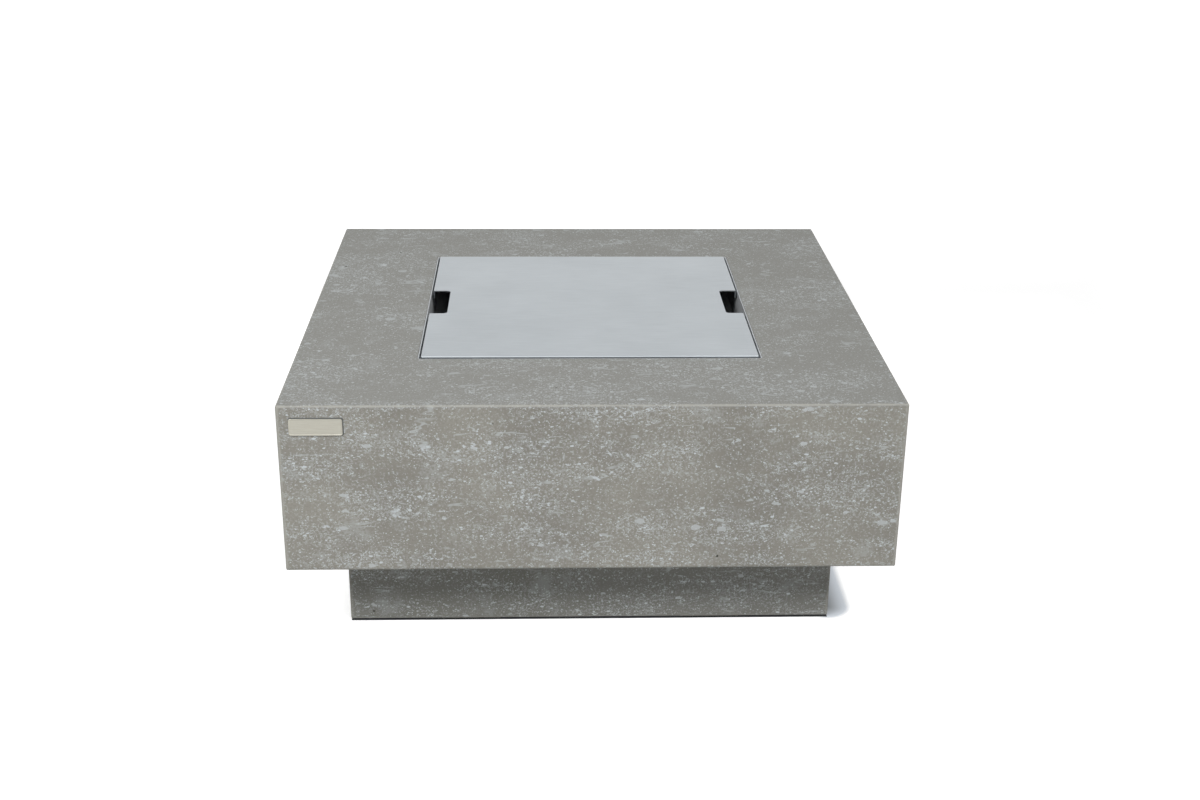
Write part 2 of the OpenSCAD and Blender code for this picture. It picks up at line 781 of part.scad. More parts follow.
// Nuts at the four ends of the hoses
module hose_nuts() {
  color(brass) {
    translate([elbow_end, 0, elbow_z]) rotate([0, 90, 0]) swivel_nut();
    translate([port_end, knob_y, ctrl_z]) rotate([0, -90, 0]) swivel_nut();
    translate([port_end, knob_y, inlet_port_z]) rotate([0, -90, 0]) swivel_nut();
    translate([inlet_x, inlet_tail, inlet_z]) rotate([90, 0, 0]) swivel_nut();
  }
}

// Bulkhead fitting with a flare end outside and inside
module inlet_fitting() {
  color(brass) translate([inlet_x, 0, inlet_z]) difference() {
    union() {
      translate([0, inlet_face, 0]) rotate([-90, 0, 0]) hex_prism(inlet_hex_d, inlet_hex_h);
      rod_y(inlet_d, inlet_body_end, inlet_face);
      rod_y(flare_d, inlet_tail, inlet_body_end);
      rod_y(flare_d, inlet_face + inlet_hex_h, inlet_tip);
    }
    rod_y(gas_bore, inlet_tail - cut, inlet_tip + cut);
  }
}

// Nut on the inlet's body, inside the plinth
module inlet_lock_nut() {
  color(brass) translate([inlet_x, inlet_inner, inlet_z]) rotate([90, 0, 0]) difference() {
    hex_prism(inlet_hex_d, nut_h);
    rod_z(inlet_d + 2 * fit, -cut, nut_h + cut);
  }
}

// Steel plate behind the niche
module control_panel() {
  color(stainless) difference() {
    translate([panel_back, 0, ctrl_z]) rotate([90, 0, 90]) linear_extrude(panel_t)
      rounded_rect(panel_w, panel_h, niche_r);
    translate([0, knob_y, ctrl_z]) rod_x(neck_d + 2 * hole_fit, panel_back - cut, panel_x + cut);
    translate([0, igniter_y, ctrl_z]) rod_x(igniter_neck_d + 2 * hole_fit, panel_back - cut, panel_x + cut);
    at_panel_screws() rod_x(screw_d + 2 * hole_fit, -cut, panel_t + cut);
  }
}

// Screws that hold the panel to the wall
module panel_screws() {
  color(zinc) at_panel_screws() {
    rod_x(screw_d, 0, panel_t + screw_depth);
    rod_x(screw_head_d, -screw_head_h, 0);
  }
}

// Valve body: barrel, neck, two lobes and three ports at the rear
module gas_valve() {
  lobe_front = valve_rear + lobe_len;
  lobe_mid = valve_rear + lobe_len / 2;
  color(brass) translate([0, knob_y, 0]) difference() {
    union() {
      translate([0, 0, ctrl_z]) {
        rod_x(valve_d, valve_rear, panel_back);
        rod_x(neck_d, panel_back, neck_end);
        rod_x(flare_d, port_end, valve_rear);
      }
      translate([0, 0, inlet_port_z]) {
        rod_x(valve_lobe_d, valve_rear, lobe_front);
        rod_x(flare_d, port_end, valve_rear);
      }
      translate([0, 0, sensor_port_z]) {
        rod_x(sensor_lobe_d, valve_rear, lobe_front);
        rod_x(sensor_port_d, port_end, valve_rear);
      }
      translate([lobe_mid, 0, (inlet_port_z + ctrl_z) / 2])
        cube([lobe_len, flare_d, inlet_port_drop], center = true);
      translate([lobe_mid, 0, (sensor_port_z + ctrl_z) / 2])
        cube([lobe_len, sensor_port_d, sensor_port_rise], center = true);
    }
    translate([0, 0, ctrl_z]) {
      rod_x(plug_d + 2 * run_fit, chamber_rear, chamber_front);
      rod_x(stem_d + 2 * run_fit, chamber_front - cut, neck_end + cut);
      rod_x(gas_bore, port_end - cut, chamber_rear + cut);
    }
    translate([0, 0, inlet_port_z]) rod_x(gas_bore, port_end - cut, lobe_mid);
    translate([lobe_mid, 0, 0]) rod_z(gas_bore - 2, inlet_port_z, ctrl_z);
  }
}

// Round bar along X with a flat on its upper side
module flatted_bar(d, flat, x0, x1) {
  difference() {
    rod_x(d, x0, x1);
    translate([x0 - cut, -d, d / 2 - flat]) cube([x1 - x0 + 2 * cut, 2 * d, d]);
  }
}

// Turning plug with a gas passage and a socket for the stem
module valve_plug() {
  passage_mid = valve_rear + lobe_len / 2;
  color("#8f7a45") translate([0, knob_y, ctrl_z]) difference() {
    rod_x(plug_d, plug_rear, plug_front);
    rod_x(gas_bore - 2, plug_rear - cut, passage_mid);
    translate([passage_mid, 0, 0]) rod_y(gas_bore - 2, 0, plug_d);
    flatted_bar(stem_d + 2 * run_fit, stem_flat, plug_front - socket_depth, plug_front + cut);
  }
}

// Stem with its collar, between the plug and the knob
module valve_stem() {
  color(zinc) translate([0, knob_y, ctrl_z]) {
    flatted_bar(stem_d, stem_flat, stem_rear, collar_front - collar_t);
    rod_x(valve_collar_d, collar_front - collar_t, collar_front);
    rod_x(stem_d, collar_front, neck_end);
    flatted_bar(stem_d, stem_flat, neck_end, stem_front);
  }
}

// Nut that holds the valve and the bezel to the panel
module valve_nut() {
  color(zinc) translate([bezel_x, knob_y, ctrl_z]) rotate([0, 90, 0]) difference() {
    hex_prism(neck_nut_d, neck_nut_h);
    rod_z(neck_d + 2 * fit, -cut, neck_nut_h + cut);
  }
}

// Bezel with a mark at each step of the half turn
module knob_bezel() {
  mark_w = 1.6;
  mark_len = 3;
  color(stainless) translate([0, knob_y, ctrl_z]) difference() {
    rod_x(bezel_d, panel_x, bezel_x);
    rod_x(neck_d + 2 * hole_fit, panel_x - cut, bezel_x + cut);
    for (turn = [0:30:180]) rotate([turn, 0, 0])
      translate([bezel_x, 0, bezel_d / 2 - mark_len]) cube([bezel_t, mark_w, mark_len], center = true);
  }
}

// Knob with a fluted grip, a pointer groove and a hub for the stem
module control_knob() {
  grip_d = knob_d - 8;
  skirt_h = 5;
  flutes = 16;
  flute_d = 4;
  hollow_d = neck_nut_d + 4;
  color(black) translate([0, knob_y, ctrl_z]) difference() {
    union() {
      difference() {
        union() {
          rod_x(knob_d, knob_x, knob_x + skirt_h);
          rod_x(grip_d, knob_x, knob_front - 1.5);
          rod_x(grip_d - 3, knob_x, knob_front);
        }
        rod_x(hollow_d, knob_x - cut, knob_front - knob_face_t);
        for (i = [0:flutes - 1]) rotate([i * 360 / flutes, 0, 0]) translate([0, 0, grip_d / 2 + 1])
          rod_x(flute_d, knob_x + skirt_h, knob_front + cut);
      }
      rod_x(knob_hub_d, knob_hub_x, knob_front - knob_face_t + fit);
    }
    flatted_bar(stem_d + 2 * fit, stem_flat, knob_hub_x - cut, knob_front - knob_face_t);
    translate([knob_front, 0, grip_d / 4]) cube([2, 2, grip_d / 2], center = true);
  }
}

// Igniter housing behind the panel, with its neck through it
module igniter_body() {
  color(black) translate([0, igniter_y, ctrl_z]) difference() {
    union() {
      rod_x(igniter_d, igniter_rear, panel_back);
      rod_x(igniter_neck_d, panel_back, neck_front);
      rod_x(terminal_d, igniter_rear - terminal_len, igniter_rear);
    }
    rod_x(igniter_bore, battery_rear - stop_gap, neck_front + cut);
  }
}

// Ring nut on the igniter's neck, with a lip that keeps the button in
module igniter_nut() {
  flutes = 20;
  color(black) translate([0, igniter_y, ctrl_z]) difference() {
    rod_x(igniter_nut_d, panel_x, igniter_nut_front);
    rod_x(igniter_neck_d + 2 * fit, panel_x - cut, neck_front + stop_gap);
    rod_x(button_d + 4 * run_fit, neck_front, igniter_nut_front + cut);
    for (i = [0:flutes - 1]) rotate([i * 360 / flutes, 0, 0]) translate([0, 0, igniter_nut_d / 2 + 0.7])
      rod_x(3, panel_x + 2, igniter_nut_front + cut);
  }
}

// Button with its flange
module igniter_button() {
  button_front = igniter_nut_front + button_h;
  dish_d = 34;
  dish_deep = 1;
  color("#3a3a3c") translate([0, igniter_y, ctrl_z]) difference() {
    union() {
      rod_x(igniter_bore - 4 * run_fit, button_back, neck_front);
      rod_x(button_d, button_back, button_front - 1);
      rod_x(button_d - 2, button_back, button_front);
    }
    translate([button_front + dish_d / 2 - dish_deep, 0, 0]) sphere(d = dish_d);
  }
}

// Battery behind the button
module igniter_battery() {
  color("#4b4f55") translate([0, igniter_y, ctrl_z]) {
    rod_x(battery_d, battery_rear, battery_front - battery_nub);
    rod_x(5.4, battery_front - battery_nub, battery_front);
  }
}

// Sheet bracket on the pan's floor with an upright shield
module sensor_bracket() {
  edge = sensor_plate_w / 2;
  profile = [[edge, 0], [edge, sensor_plate_t], [sensor_plate_t - edge, sensor_plate_t],
    [sensor_plate_t - edge, shield_h], [-edge, shield_h], [-edge, 0]];
  color(stainless) difference() {
    translate([sensor_x, 0, pan_floor]) rotate([90, 0, 0])
      linear_extrude(sensor_plate_len, center = true) polygon(profile);
    translate([0, 0, pan_floor]) sensor_holes(sensor_plate_t);
  }
}

// Rivets through the bracket and the pan's floor
module sensor_rivets() {
  color(zinc) for (side = [-1, 1]) translate([sensor_x, side * rivet_y, 0]) {
    rod_z(rivet_d, pan_under, sensor_base);
    rod_z(rivet_head_d, sensor_base, sensor_base + rivet_head_h);
    rod_z(rivet_head_d, pan_under - rivet_head_h, pan_under);
  }
}

// Ceramic insulator of the spark electrode
module electrode_insulator() {
  color("#ece8dd") translate([sensor_x, sensor_pitch, 0]) difference() {
    union() {
      rod_z(insulator_d, sensor_low, sensor_high);
      rod_z(collar_d, sensor_base, sensor_base + sensor_collar_h);
    }
    rod_z(tip_d + 2 * fit, sensor_high - tip_seat, sensor_high + cut);
  }
}

// Bent wire of the spark electrode
module electrode_tip() {
  elbow = sensor_high + tip_rise;
  color(zinc) translate([sensor_x, sensor_pitch, 0]) {
    rod_z(tip_d, sensor_high - tip_seat, elbow);
    translate([0, 0, elbow]) sphere(d = tip_d);
    translate([0, 0, elbow]) rod_x(tip_d, 0, tip_reach);
  }
}

// Flame sensor rod with its collar
module flame_sensor() {
  tip_len = 10;
  color("#a56b45") translate([sensor_x, -sensor_pitch, 0]) {
    rod_z(sensor_d, sensor_low, sensor_high);
    rod_z(sensor_d - 2, sensor_high, sensor_high + tip_len);
    translate([0, 0, sensor_base]) hex_prism(collar_d, sensor_collar_h);
  }
}

// Lead from the igniter to the spark electrode
module ignition_lead() {
  color("#7a2e26") curved_tube(ignition_lead_route, lead_d, 20, 8, [0, 1, 0]);
}

// Lead from the flame sensor to the valve
module sensor_lead() {
  color("#8c5a3a") curved_tube(sensor_lead_route, lead_d, 20, 8, [0, 1, 0]);
}

// One rock: rings of points on a flat foot, closed by a point at the top
module rock(d, h, seed) {
  sides = 7;
  heights = [0, 0.26, 0.6, 0.88];
  widths = [0.68, 1, 0.9, 0.5];
  levels = len(heights);
  jag = rands(0.8, 1, sides * levels, seed);
  twist = rands(0, 360, 1, seed + 1)[0];
  points = [for (k = [0:levels - 1], i = [0:sides - 1])
    let (r = d / 2 * widths[k] * jag[k * sides + i], a = twist + 360 * (i + 0.5 * (k % 2)) / sides)
    [r * cos(a), r * sin(a), h * heights[k]]];
  walls = [for (k = [0:levels - 2], i = [0:sides - 1])
    let (j = (i + 1) % sides, a = k * sides, b = a + sides)
    each [[a + i, b + i, b + j], [a + i, b + j, a + j]]];
  last = (levels - 1) * sides;
  top = [for (i = [0:sides - 1]) [last + i, levels * sides, last + (i + 1) % sides]];
  polyhedron(concat(points, [[0, 0, h]]), concat([[for (i = [0:sides - 1]) i]], walls, top));
}

// Even places for rocks from a to b
function rock_places(a, b) = let (count = floor((b - a) / (rock_d + rock_gap)), step = (b - a) / count)
  [for (i = [0:count - 1]) a + (i + 0.5) * step];

// Rocks inside the ring beside the feed tube, and in one row round the ring
module lava_rocks() {
  inner = ring_half - tube_d / 2 - rock_gap;
  row = ring_half + tube_d / 2 + rock_gap + rock_d / 2;
  bracket_half = sensor_plate_len / 2 + rock_d / 2;
  bracket_side = sensor_x - sensor_plate_w / 2 - rock_d / 2;
  columns = rock_places(feed_d / 2 + rock_gap, inner);
  inside = [for (side = [-1, 1], x = columns, y = rock_places(-inner, inner))
    if (norm([x, y]) > (hub_d + rock_d) / 2 && !(side * x > bracket_side && abs(y) < bracket_half))
      [side * x, y]];
  round_row = [for (turn = [0:90:270], y = rock_places(-row - rock_d / 2, row - rock_d / 2))
    [row * cos(turn) - y * sin(turn), row * sin(turn) + y * cos(turn)]];
  places = concat(inside, round_row);
  sizes = rands(0.86, 1, len(places), 5);
  heights = rands(rock_low, rock_high, len(places), 9);
  color("#3b3836") translate([0, 0, pan_floor]) for (i = [0:len(places) - 1])
    translate(places[i]) rock(rock_d * sizes[i], heights[i], 20 + 3 * i);
}

table_shell();
plinth();
foot_pads();
angle_brackets();
bracket_bolts();
badge_plate();
lid();
fire_pan();
lid_rests();
pan_straps();
strap_bolts();
burner();
burner_nipple();
burner_lock_nut();
air_mixer();
orifice_elbow();
burner_hose();
supply_hose();
hose_nuts();
inlet_fitting();
inlet_lock_nut();
control_panel();
panel_screws();
gas_valve();
valve_plug();
valve_stem();
valve_nut();
knob_bezel();
control_knob();
igniter_body();
igniter_nut();
igniter_button();
igniter_battery();
sensor_bracket();
sensor_rivets();
electrode_insulator();
electrode_tip();
flame_sensor();
ignition_lead();
sensor_lead();
lava_rocks();
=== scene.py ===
"""Looks of a square fire pit table: cast concrete block and plinth, folded steel lid, burner pan and gas control.

Everything is in metres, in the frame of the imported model: +Z up, the front faces -Y, the gas control faces +X.
"""

from __future__ import annotations

import json
import logging
import math
import random
from abc import ABC, abstractmethod
from dataclasses import dataclass
from enum import Enum
from typing import Any, Iterable, Optional, Sequence

import bmesh
import bpy
from mathutils import Euler, Matrix, Vector, noise
from mathutils.bvhtree import BVHTree
from mathutils.geometry import interpolate_bezier

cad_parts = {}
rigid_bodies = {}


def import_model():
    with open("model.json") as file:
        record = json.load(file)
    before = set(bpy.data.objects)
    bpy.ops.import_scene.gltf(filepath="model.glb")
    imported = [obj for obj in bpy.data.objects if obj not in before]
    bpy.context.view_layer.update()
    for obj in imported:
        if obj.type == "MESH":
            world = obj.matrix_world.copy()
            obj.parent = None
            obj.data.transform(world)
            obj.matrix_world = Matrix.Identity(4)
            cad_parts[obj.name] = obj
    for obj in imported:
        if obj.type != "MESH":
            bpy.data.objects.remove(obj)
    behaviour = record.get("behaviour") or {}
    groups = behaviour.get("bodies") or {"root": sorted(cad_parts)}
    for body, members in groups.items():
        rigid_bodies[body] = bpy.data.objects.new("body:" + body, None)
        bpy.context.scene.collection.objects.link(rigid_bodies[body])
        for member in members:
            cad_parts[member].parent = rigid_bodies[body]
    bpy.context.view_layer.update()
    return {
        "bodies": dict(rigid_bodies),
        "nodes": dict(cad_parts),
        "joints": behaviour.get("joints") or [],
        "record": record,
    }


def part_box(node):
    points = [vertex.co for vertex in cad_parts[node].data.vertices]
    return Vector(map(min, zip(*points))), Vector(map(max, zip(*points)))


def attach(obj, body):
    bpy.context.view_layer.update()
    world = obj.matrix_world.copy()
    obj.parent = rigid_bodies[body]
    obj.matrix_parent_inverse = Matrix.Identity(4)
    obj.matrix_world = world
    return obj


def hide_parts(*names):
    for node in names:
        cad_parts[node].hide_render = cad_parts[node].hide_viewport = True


log = logging.getLogger("fire_pit_table")

MM = 0.001
WHITE = "#ffffff"

Socket = bpy.types.NodeSocket
Tree = bpy.types.NodeTree
Triple = tuple[float, float, float]


def linear(colour: str) -> tuple[float, float, float, float]:
    """Turns an sRGB hex colour into linear light.

    Args:
        colour: A colour such as "#8f8e88".

    Returns:
        Red, green, blue and an alpha of 1.
    """
    channels = [int(colour[i : i + 2], 16) / 255 for i in (1, 3, 5)]
    light = [c / 12.92 if c <= 0.04045 else ((c + 0.055) / 1.055) ** 2.4 for c in channels]
    return (light[0], light[1], light[2], 1.0)


def per_metre(size_mm: float) -> float:
    """Gives the texture scale at which one feature is this many millimetres wide."""
    return 1000.0 / size_mm


def add_node(
    tree: Tree,
    kind: str,
    values: Optional[dict[Any, Any]] = None,
    links: Optional[dict[Any, Socket]] = None,
    **settings: Any,
) -> bpy.types.Node:
    """Adds a node to a tree, sets it up and links its inputs.

    Args:
        tree: The node tree that takes the node.
        kind: The node's type, such as "ShaderNodeMath".
        values: Constants by input name or number.
        links: Source sockets by input name or number.
        settings: Properties of the node, such as its operation.

    Returns:
        The new node.
    """
    node = tree.nodes.new(kind)
    for name, value in settings.items():
        setattr(node, name, value)
    for name, value in (values or {}).items():
        node.inputs[name].default_value = value
    for name, source in (links or {}).items():
        tree.links.new(source, node.inputs[name])
    return node


class Grain(Enum):
    """The way that a sheet was brushed, as the stretch of its scratches along X, Y and Z."""

    ALONG_X = (0.02, 1.0, 1.0)
    ALONG_Y = (1.0, 0.02, 1.0)
    ALONG_Z = (1.0, 1.0, 0.02)


@dataclass(frozen=True)
class Finish(ABC):
    """A material named for what the real surface is."""

    name: str

    def material(self) -> bpy.types.Material:
        """Makes the material on its first use.

        Returns:
            The material.
        """
        made = bpy.data.materials.get(self.name)
        if made is None:
            made = bpy.data.materials.new(self.name)
            made.use_nodes = True
            tree = made.node_tree
            shader = tree.nodes["Principled BSDF"]
            place = add_node(tree, "ShaderNodeTexCoord").outputs["Object"]
            self.paint(tree, shader, place)
        return made

    @abstractmethod
    def paint(self, tree: Tree, shader: bpy.types.Node, place: Socket) -> None:
        """Adds the nodes of the finish.

        Args:
            tree: The material's node tree.
            shader: Its Principled BSDF.
            place: Object coordinates, in metres.
        """

    def coat(
        self,
        tree: Tree,
        shader: bpy.types.Node,
        tones: tuple[str, str],
        tone: Socket,
        sheen: tuple[float, float],
        wear: Socket,
        relief: tuple[float, float],
        height: Socket,
    ) -> None:
        """Gives a surface of two tones its colour, roughness and relief.

        Args:
            tree: The material's node tree.
            shader: Its Principled BSDF.
            tones: The colours where the tone is 0 and where it is 1.
            tone: Where each colour lies.
            sheen: The roughness where the wear is 0 and where it is 1.
            wear: Where each roughness lies.
            relief: The bump's strength and depth.
            height: The bump's height.
        """
        colour = add_node(
            tree, "ShaderNodeMix", {6: linear(tones[0]), 7: linear(tones[1])}, {0: tone}, data_type="RGBA"
        ).outputs[2]
        rough = add_node(
            tree, "ShaderNodeMapRange", {"To Min": sheen[0], "To Max": sheen[1]}, {"Value": wear}
        ).outputs[0]
        bump = add_node(
            tree, "ShaderNodeBump", {"Strength": relief[0], "Distance": relief[1]}, {"Height": height}
        ).outputs[0]
        for name, source in (("Base Color", colour), ("Roughness", rough), ("Normal", bump)):
            tree.links.new(source, shader.inputs[name])


@dataclass(frozen=True)
class Clump:
    """One size of solid slurry patch: its size, how flat it lies, how rare it is, its crowding and its soft edge."""

    size_mm: float
    lay: float
    level: float
    crowding: float
    edge: float


@dataclass(frozen=True)
class Bubbles:
    """One size of filled bubbles: the cells that hold them, the largest radius, how rare, white, flat and torn."""

    cell_mm: float
    radius_mm: float
    rare: float
    strength: float
    flat: float = 1.3
    torn: float = 0.0


@dataclass(frozen=True)
class CastConcrete(Finish):
    """Fibre-reinforced concrete, cast face down: warm grey paste with paler slurry in its fine blowholes.

    The eye sees short curled flecks and dots that crowd in sideways bands, a few solid patches and hairlines, a soft
    haze, a few open pits painted dark as shade, and arrises painted lighter as wear and as a painted highlight.
    """

    half_width: float = 0.46
    low: float = 0.133
    high: float = 0.4
    paste: str = "#98968e"
    dark_paste: str = "#8c8a83"
    slurry: str = "#c8ced1"
    # The top's paste, painted darker as shade to offset the stronger light on the top.
    top_paste: str = "#8f8f8b"
    # Arrises: lighter as wear and as a painted highlight where they catch the light.
    rubbed: str = "#abaaa3"
    # Inside the pits: dark grey, painted as the shade in them.
    pit: str = "#45453f"
    grit: str = "#75736b"
    # Depth under the top at which its look starts, and at which it is full: fainter flecks, and paste painted darker as
    # shade.
    top_start: float = 6.0 * MM
    top_full: float = 1.0 * MM
    top_contrast: float = 0.66
    cloud_mm: float = 160.0
    sand_mm: float = 3.1
    grit_strength: float = 0.24
    # Bands in which the slurry crowds, and how much more of each kind of fleck they hold.
    band_mm: float = 105.0
    band_scale: Triple = (0.75, 1.1, 3.0)
    curl_crowding: float = 0.12
    dot_crowding: float = 0.14
    salt_crowding: float = 0.075
    curl_mm: float = 6.5
    curl_strength: float = 0.78
    bubbles: tuple[Bubbles, ...] = (
        Bubbles(3.8, 1.25, 0.75, 1.0),
        Bubbles(6.5, 2.1, 0.855, 1.0, 1.5, 0.8),
        Bubbles(15.0, 3.6, 0.86, 0.95, 1.8, 0.9),
        Bubbles(24.0, 5.5, 0.84, 0.68, 1.8, 1.4),
        Bubbles(40.0, 9.0, 0.87, 0.6, 2.1, 1.4),
    )
    bubble_edge_mm: float = 0.4
    hair_mm: float = 16.0
    hair_strength: float = 0.5
    clumps: tuple[Clump, ...] = (Clump(14.0, 1.6, 0.7, 0.075, 0.04), Clump(32.0, 1.5, 0.69, 0.05, 0.08))
    clump_strength: float = 0.9
    haze_mm: float = 45.0
    haze_grain: float = 0.45
    haze_strength: float = 0.22
    salt_strength: float = 0.26
    # Arrises painted lighter as wear and highlight: where the rub ends, where it is full, how far it wanders, how near
    # an upright counts.
    rub_end: float = 3.4 * MM
    rub_full: float = 1.2 * MM
    rub_wander: float = 4.0 * MM
    rub_strength: float = 0.75
    upright_share: float = 0.55
    pit_cell_mm: float = 48.0
    pit_radius_mm: float = 2.88
    pit_edge_mm: float = 0.96
    pit_strength: float = 0.9
    pit_depth: float = 3.0

    def paint(self, tree: Tree, shader: bpy.types.Node, place: Socket) -> None:
        """Adds the paste, the slurry, the pits painted dark as shade, and the arrises painted lighter as wear and
        highlight.

        Args:
            tree: The material's node tree.
            shader: Its Principled BSDF.
            place: Object coordinates, in metres.
        """
        axes = add_node(tree, "ShaderNodeSeparateXYZ", links={0: place})
        top = add_node(
            tree,
            "ShaderNodeMapRange",
            {"From Min": self.high - self.top_start, "From Max": self.high - self.top_full},
            {"Value": axes.outputs["Z"]},
            interpolation_type="SMOOTHSTEP",
        ).outputs[0]
        sand = add_node(
            tree,
            "ShaderNodeTexNoise",
            {"Scale": per_metre(self.sand_mm), "Detail": 2.0, "Roughness": 0.6},
            {"Vector": place},
        ).outputs[0]
        bands = self._bands(tree, place)
        layers = [
            self._curls(tree, place, bands),
            *(self._dots(tree, place, bands, bubbles) for bubbles in self.bubbles),
            self._hairlines(tree, place),
            *(self._patch(tree, place, bands, clump) for clump in self.clumps),
            self._mist(tree, place, sand),
            self._salt(tree, sand, bands),
        ]
        slurry = layers[0]
        for layer in layers[1:]:
            slurry = add_node(tree, "ShaderNodeMath", {}, {0: slurry, 1: layer}, operation="MAXIMUM").outputs[0]
        fade = add_node(
            tree, "ShaderNodeMath", {1: self.top_contrast - 1.0, 2: 1.0}, {0: top}, operation="MULTIPLY_ADD"
        ).outputs[0]
        slurry = add_node(tree, "ShaderNodeMath", {}, {0: slurry, 1: fade}, operation="MULTIPLY").outputs[0]
        pits = self._pits(tree, place)
        colour = self._paste(tree, place, top, sand)
        # Over the paste: the slurry, the arrises painted lighter as wear and highlight, and the pits painted dark as
        # shade.
        for cover, tint in (
            (slurry, self.slurry),
            (self._arris(tree, axes, place), self.rubbed),
            (pits, self.pit),
        ):
            colour = add_node(
                tree, "ShaderNodeMix", {7: linear(tint)}, {0: cover, 6: colour}, data_type="RGBA"
            ).outputs[2]
        tree.links.new(colour, shader.inputs["Base Color"])
        self._relief(tree, shader, sand, pits)

    def _bands(self, tree: Tree, place: Socket) -> Socket:
        """Makes the bands in which the slurry crowds, about 140 mm long and 35 mm high on the front.

        Args:
            tree: The material's node tree.
            place: Object coordinates, in metres.

        Returns:
            1 in a band and 0 between bands.
        """
        stretched = add_node(tree, "ShaderNodeMapping", {"Scale": self.band_scale}, {"Vector": place}).outputs[0]
        cloud = add_node(
            tree,
            "ShaderNodeTexNoise",
            {"Scale": per_metre(self.band_mm), "Detail": 4.0, "Roughness": 0.6},
            {"Vector": stretched},
        ).outputs[0]
        return add_node(
            tree,
            "ShaderNodeMapRange",
            {"From Min": 0.38, "From Max": 0.64},
            {"Value": cloud},
            interpolation_type="SMOOTHSTEP",
        ).outputs[0]

    def _level_line(self, tree: Tree, field: Socket, ends: tuple[float, float], strength: float) -> Socket:
        """Draws the line along which a noise has its middle value.

        Args:
            tree: The material's node tree.
            field: The noise.
            ends: How far from the middle value the line ends, and where it is full.
            strength: How white the line is.

        Returns:
            The line.
        """
        off = add_node(tree, "ShaderNodeMath", {1: 0.5}, {0: field}, operation="SUBTRACT").outputs[0]
        gap = add_node(tree, "ShaderNodeMath", {}, {0: off}, operation="ABSOLUTE").outputs[0]
        return add_node(
            tree,
            "ShaderNodeMapRange",
            {"From Min": ends[0], "From Max": ends[1], "To Max": strength},
            {"Value": gap},
            interpolation_type="SMOOTHSTEP",
        ).outputs[0]

    def _curls(self, tree: Tree, place: Socket, bands: Socket) -> Socket:
        """Draws curled strokes about 1 mm wide and 4 mm long: pieces of the level lines of a noise.

        Args:
            tree: The material's node tree.
            place: Object coordinates, in metres.
            bands: Where the slurry crowds.

        Returns:
            How white the strokes are.
        """
        drawn = add_node(tree, "ShaderNodeMapping", {"Scale": (1.0, 1.2, 1.5)}, {"Vector": place}).outputs[0]
        field = add_node(
            tree,
            "ShaderNodeTexNoise",
            {"Scale": per_metre(self.curl_mm), "Detail": 1.0, "Roughness": 0.5, "Distortion": 0.6},
            {"Vector": drawn},
        ).outputs[0]
        line = self._level_line(tree, field, (0.045, 0.015), self.curl_strength)
        other = add_node(tree, "ShaderNodeMapping", {"Location": (3.1, 1.7, 5.3)}, {"Vector": drawn}).outputs[0]
        breaks = add_node(
            tree, "ShaderNodeTexNoise", {"Scale": per_metre(6.0), "Detail": 2.0}, {"Vector": other}
        ).outputs[0]
        crowded = add_node(
            tree, "ShaderNodeMath", {1: self.curl_crowding}, {0: bands, 2: breaks}, operation="MULTIPLY_ADD"
        ).outputs[0]
        shown = add_node(
            tree,
            "ShaderNodeMapRange",
            {"From Min": 0.6, "From Max": 0.64},
            {"Value": crowded},
            interpolation_type="SMOOTHSTEP",
        ).outputs[0]
        return add_node(tree, "ShaderNodeMath", {}, {0: line, 1: shown}, operation="MULTIPLY").outputs[0]

    def _dots(self, tree: Tree, place: Socket, bands: Socket, bubbles: Bubbles) -> Socket:
        """Draws filled bubbles of one size, more of them in the bands.

        Args:
            tree: The material's node tree.
            place: Object coordinates, in metres.
            bands: Where the slurry crowds.
            bubbles: Their size, number and shape.

        Returns:
            How white the bubbles are.
        """
        drawn = add_node(
            tree, "ShaderNodeMapping", {"Scale": (1.0, (1.0 + bubbles.flat) / 2, bubbles.flat)}, {"Vector": place}
        ).outputs[0]
        if bubbles.torn > 0.0:
            tears = add_node(
                tree, "ShaderNodeTexNoise", {"Scale": per_metre(bubbles.radius_mm), "Detail": 2.0}, {"Vector": drawn}
            ).outputs["Color"]
            pull = bubbles.torn * bubbles.radius_mm * MM
            drawn = add_node(
                tree, "ShaderNodeVectorMath", {1: (pull, pull, pull)}, {0: tears, 2: drawn}, operation="MULTIPLY_ADD"
            ).outputs[0]
        cells = add_node(
            tree, "ShaderNodeTexVoronoi", {"Scale": per_metre(bubbles.cell_mm), "Randomness": 1.0}, {"Vector": drawn}
        )
        pick = add_node(tree, "ShaderNodeSeparateColor", links={0: cells.outputs["Color"]}).outputs[0]
        chance = add_node(
            tree, "ShaderNodeMath", {1: self.dot_crowding}, {0: bands, 2: pick}, operation="MULTIPLY_ADD"
        ).outputs[0]
        wide = add_node(
            tree,
            "ShaderNodeMapRange",
            {"From Min": bubbles.rare, "From Max": bubbles.rare + 0.2, "To Max": bubbles.radius_mm / bubbles.cell_mm},
            {"Value": chance},
            interpolation_type="SMOOTHSTEP",
        ).outputs[0]
        inside = add_node(
            tree, "ShaderNodeMath", {}, {0: wide, 1: cells.outputs["Distance"]}, operation="SUBTRACT"
        ).outputs[0]
        return add_node(
            tree,
            "ShaderNodeMapRange",
            {"From Min": 0.0, "From Max": self.bubble_edge_mm / bubbles.cell_mm, "To Max": bubbles.strength},
            {"Value": inside},
            interpolation_type="SMOOTHSTEP",
        ).outputs[0]

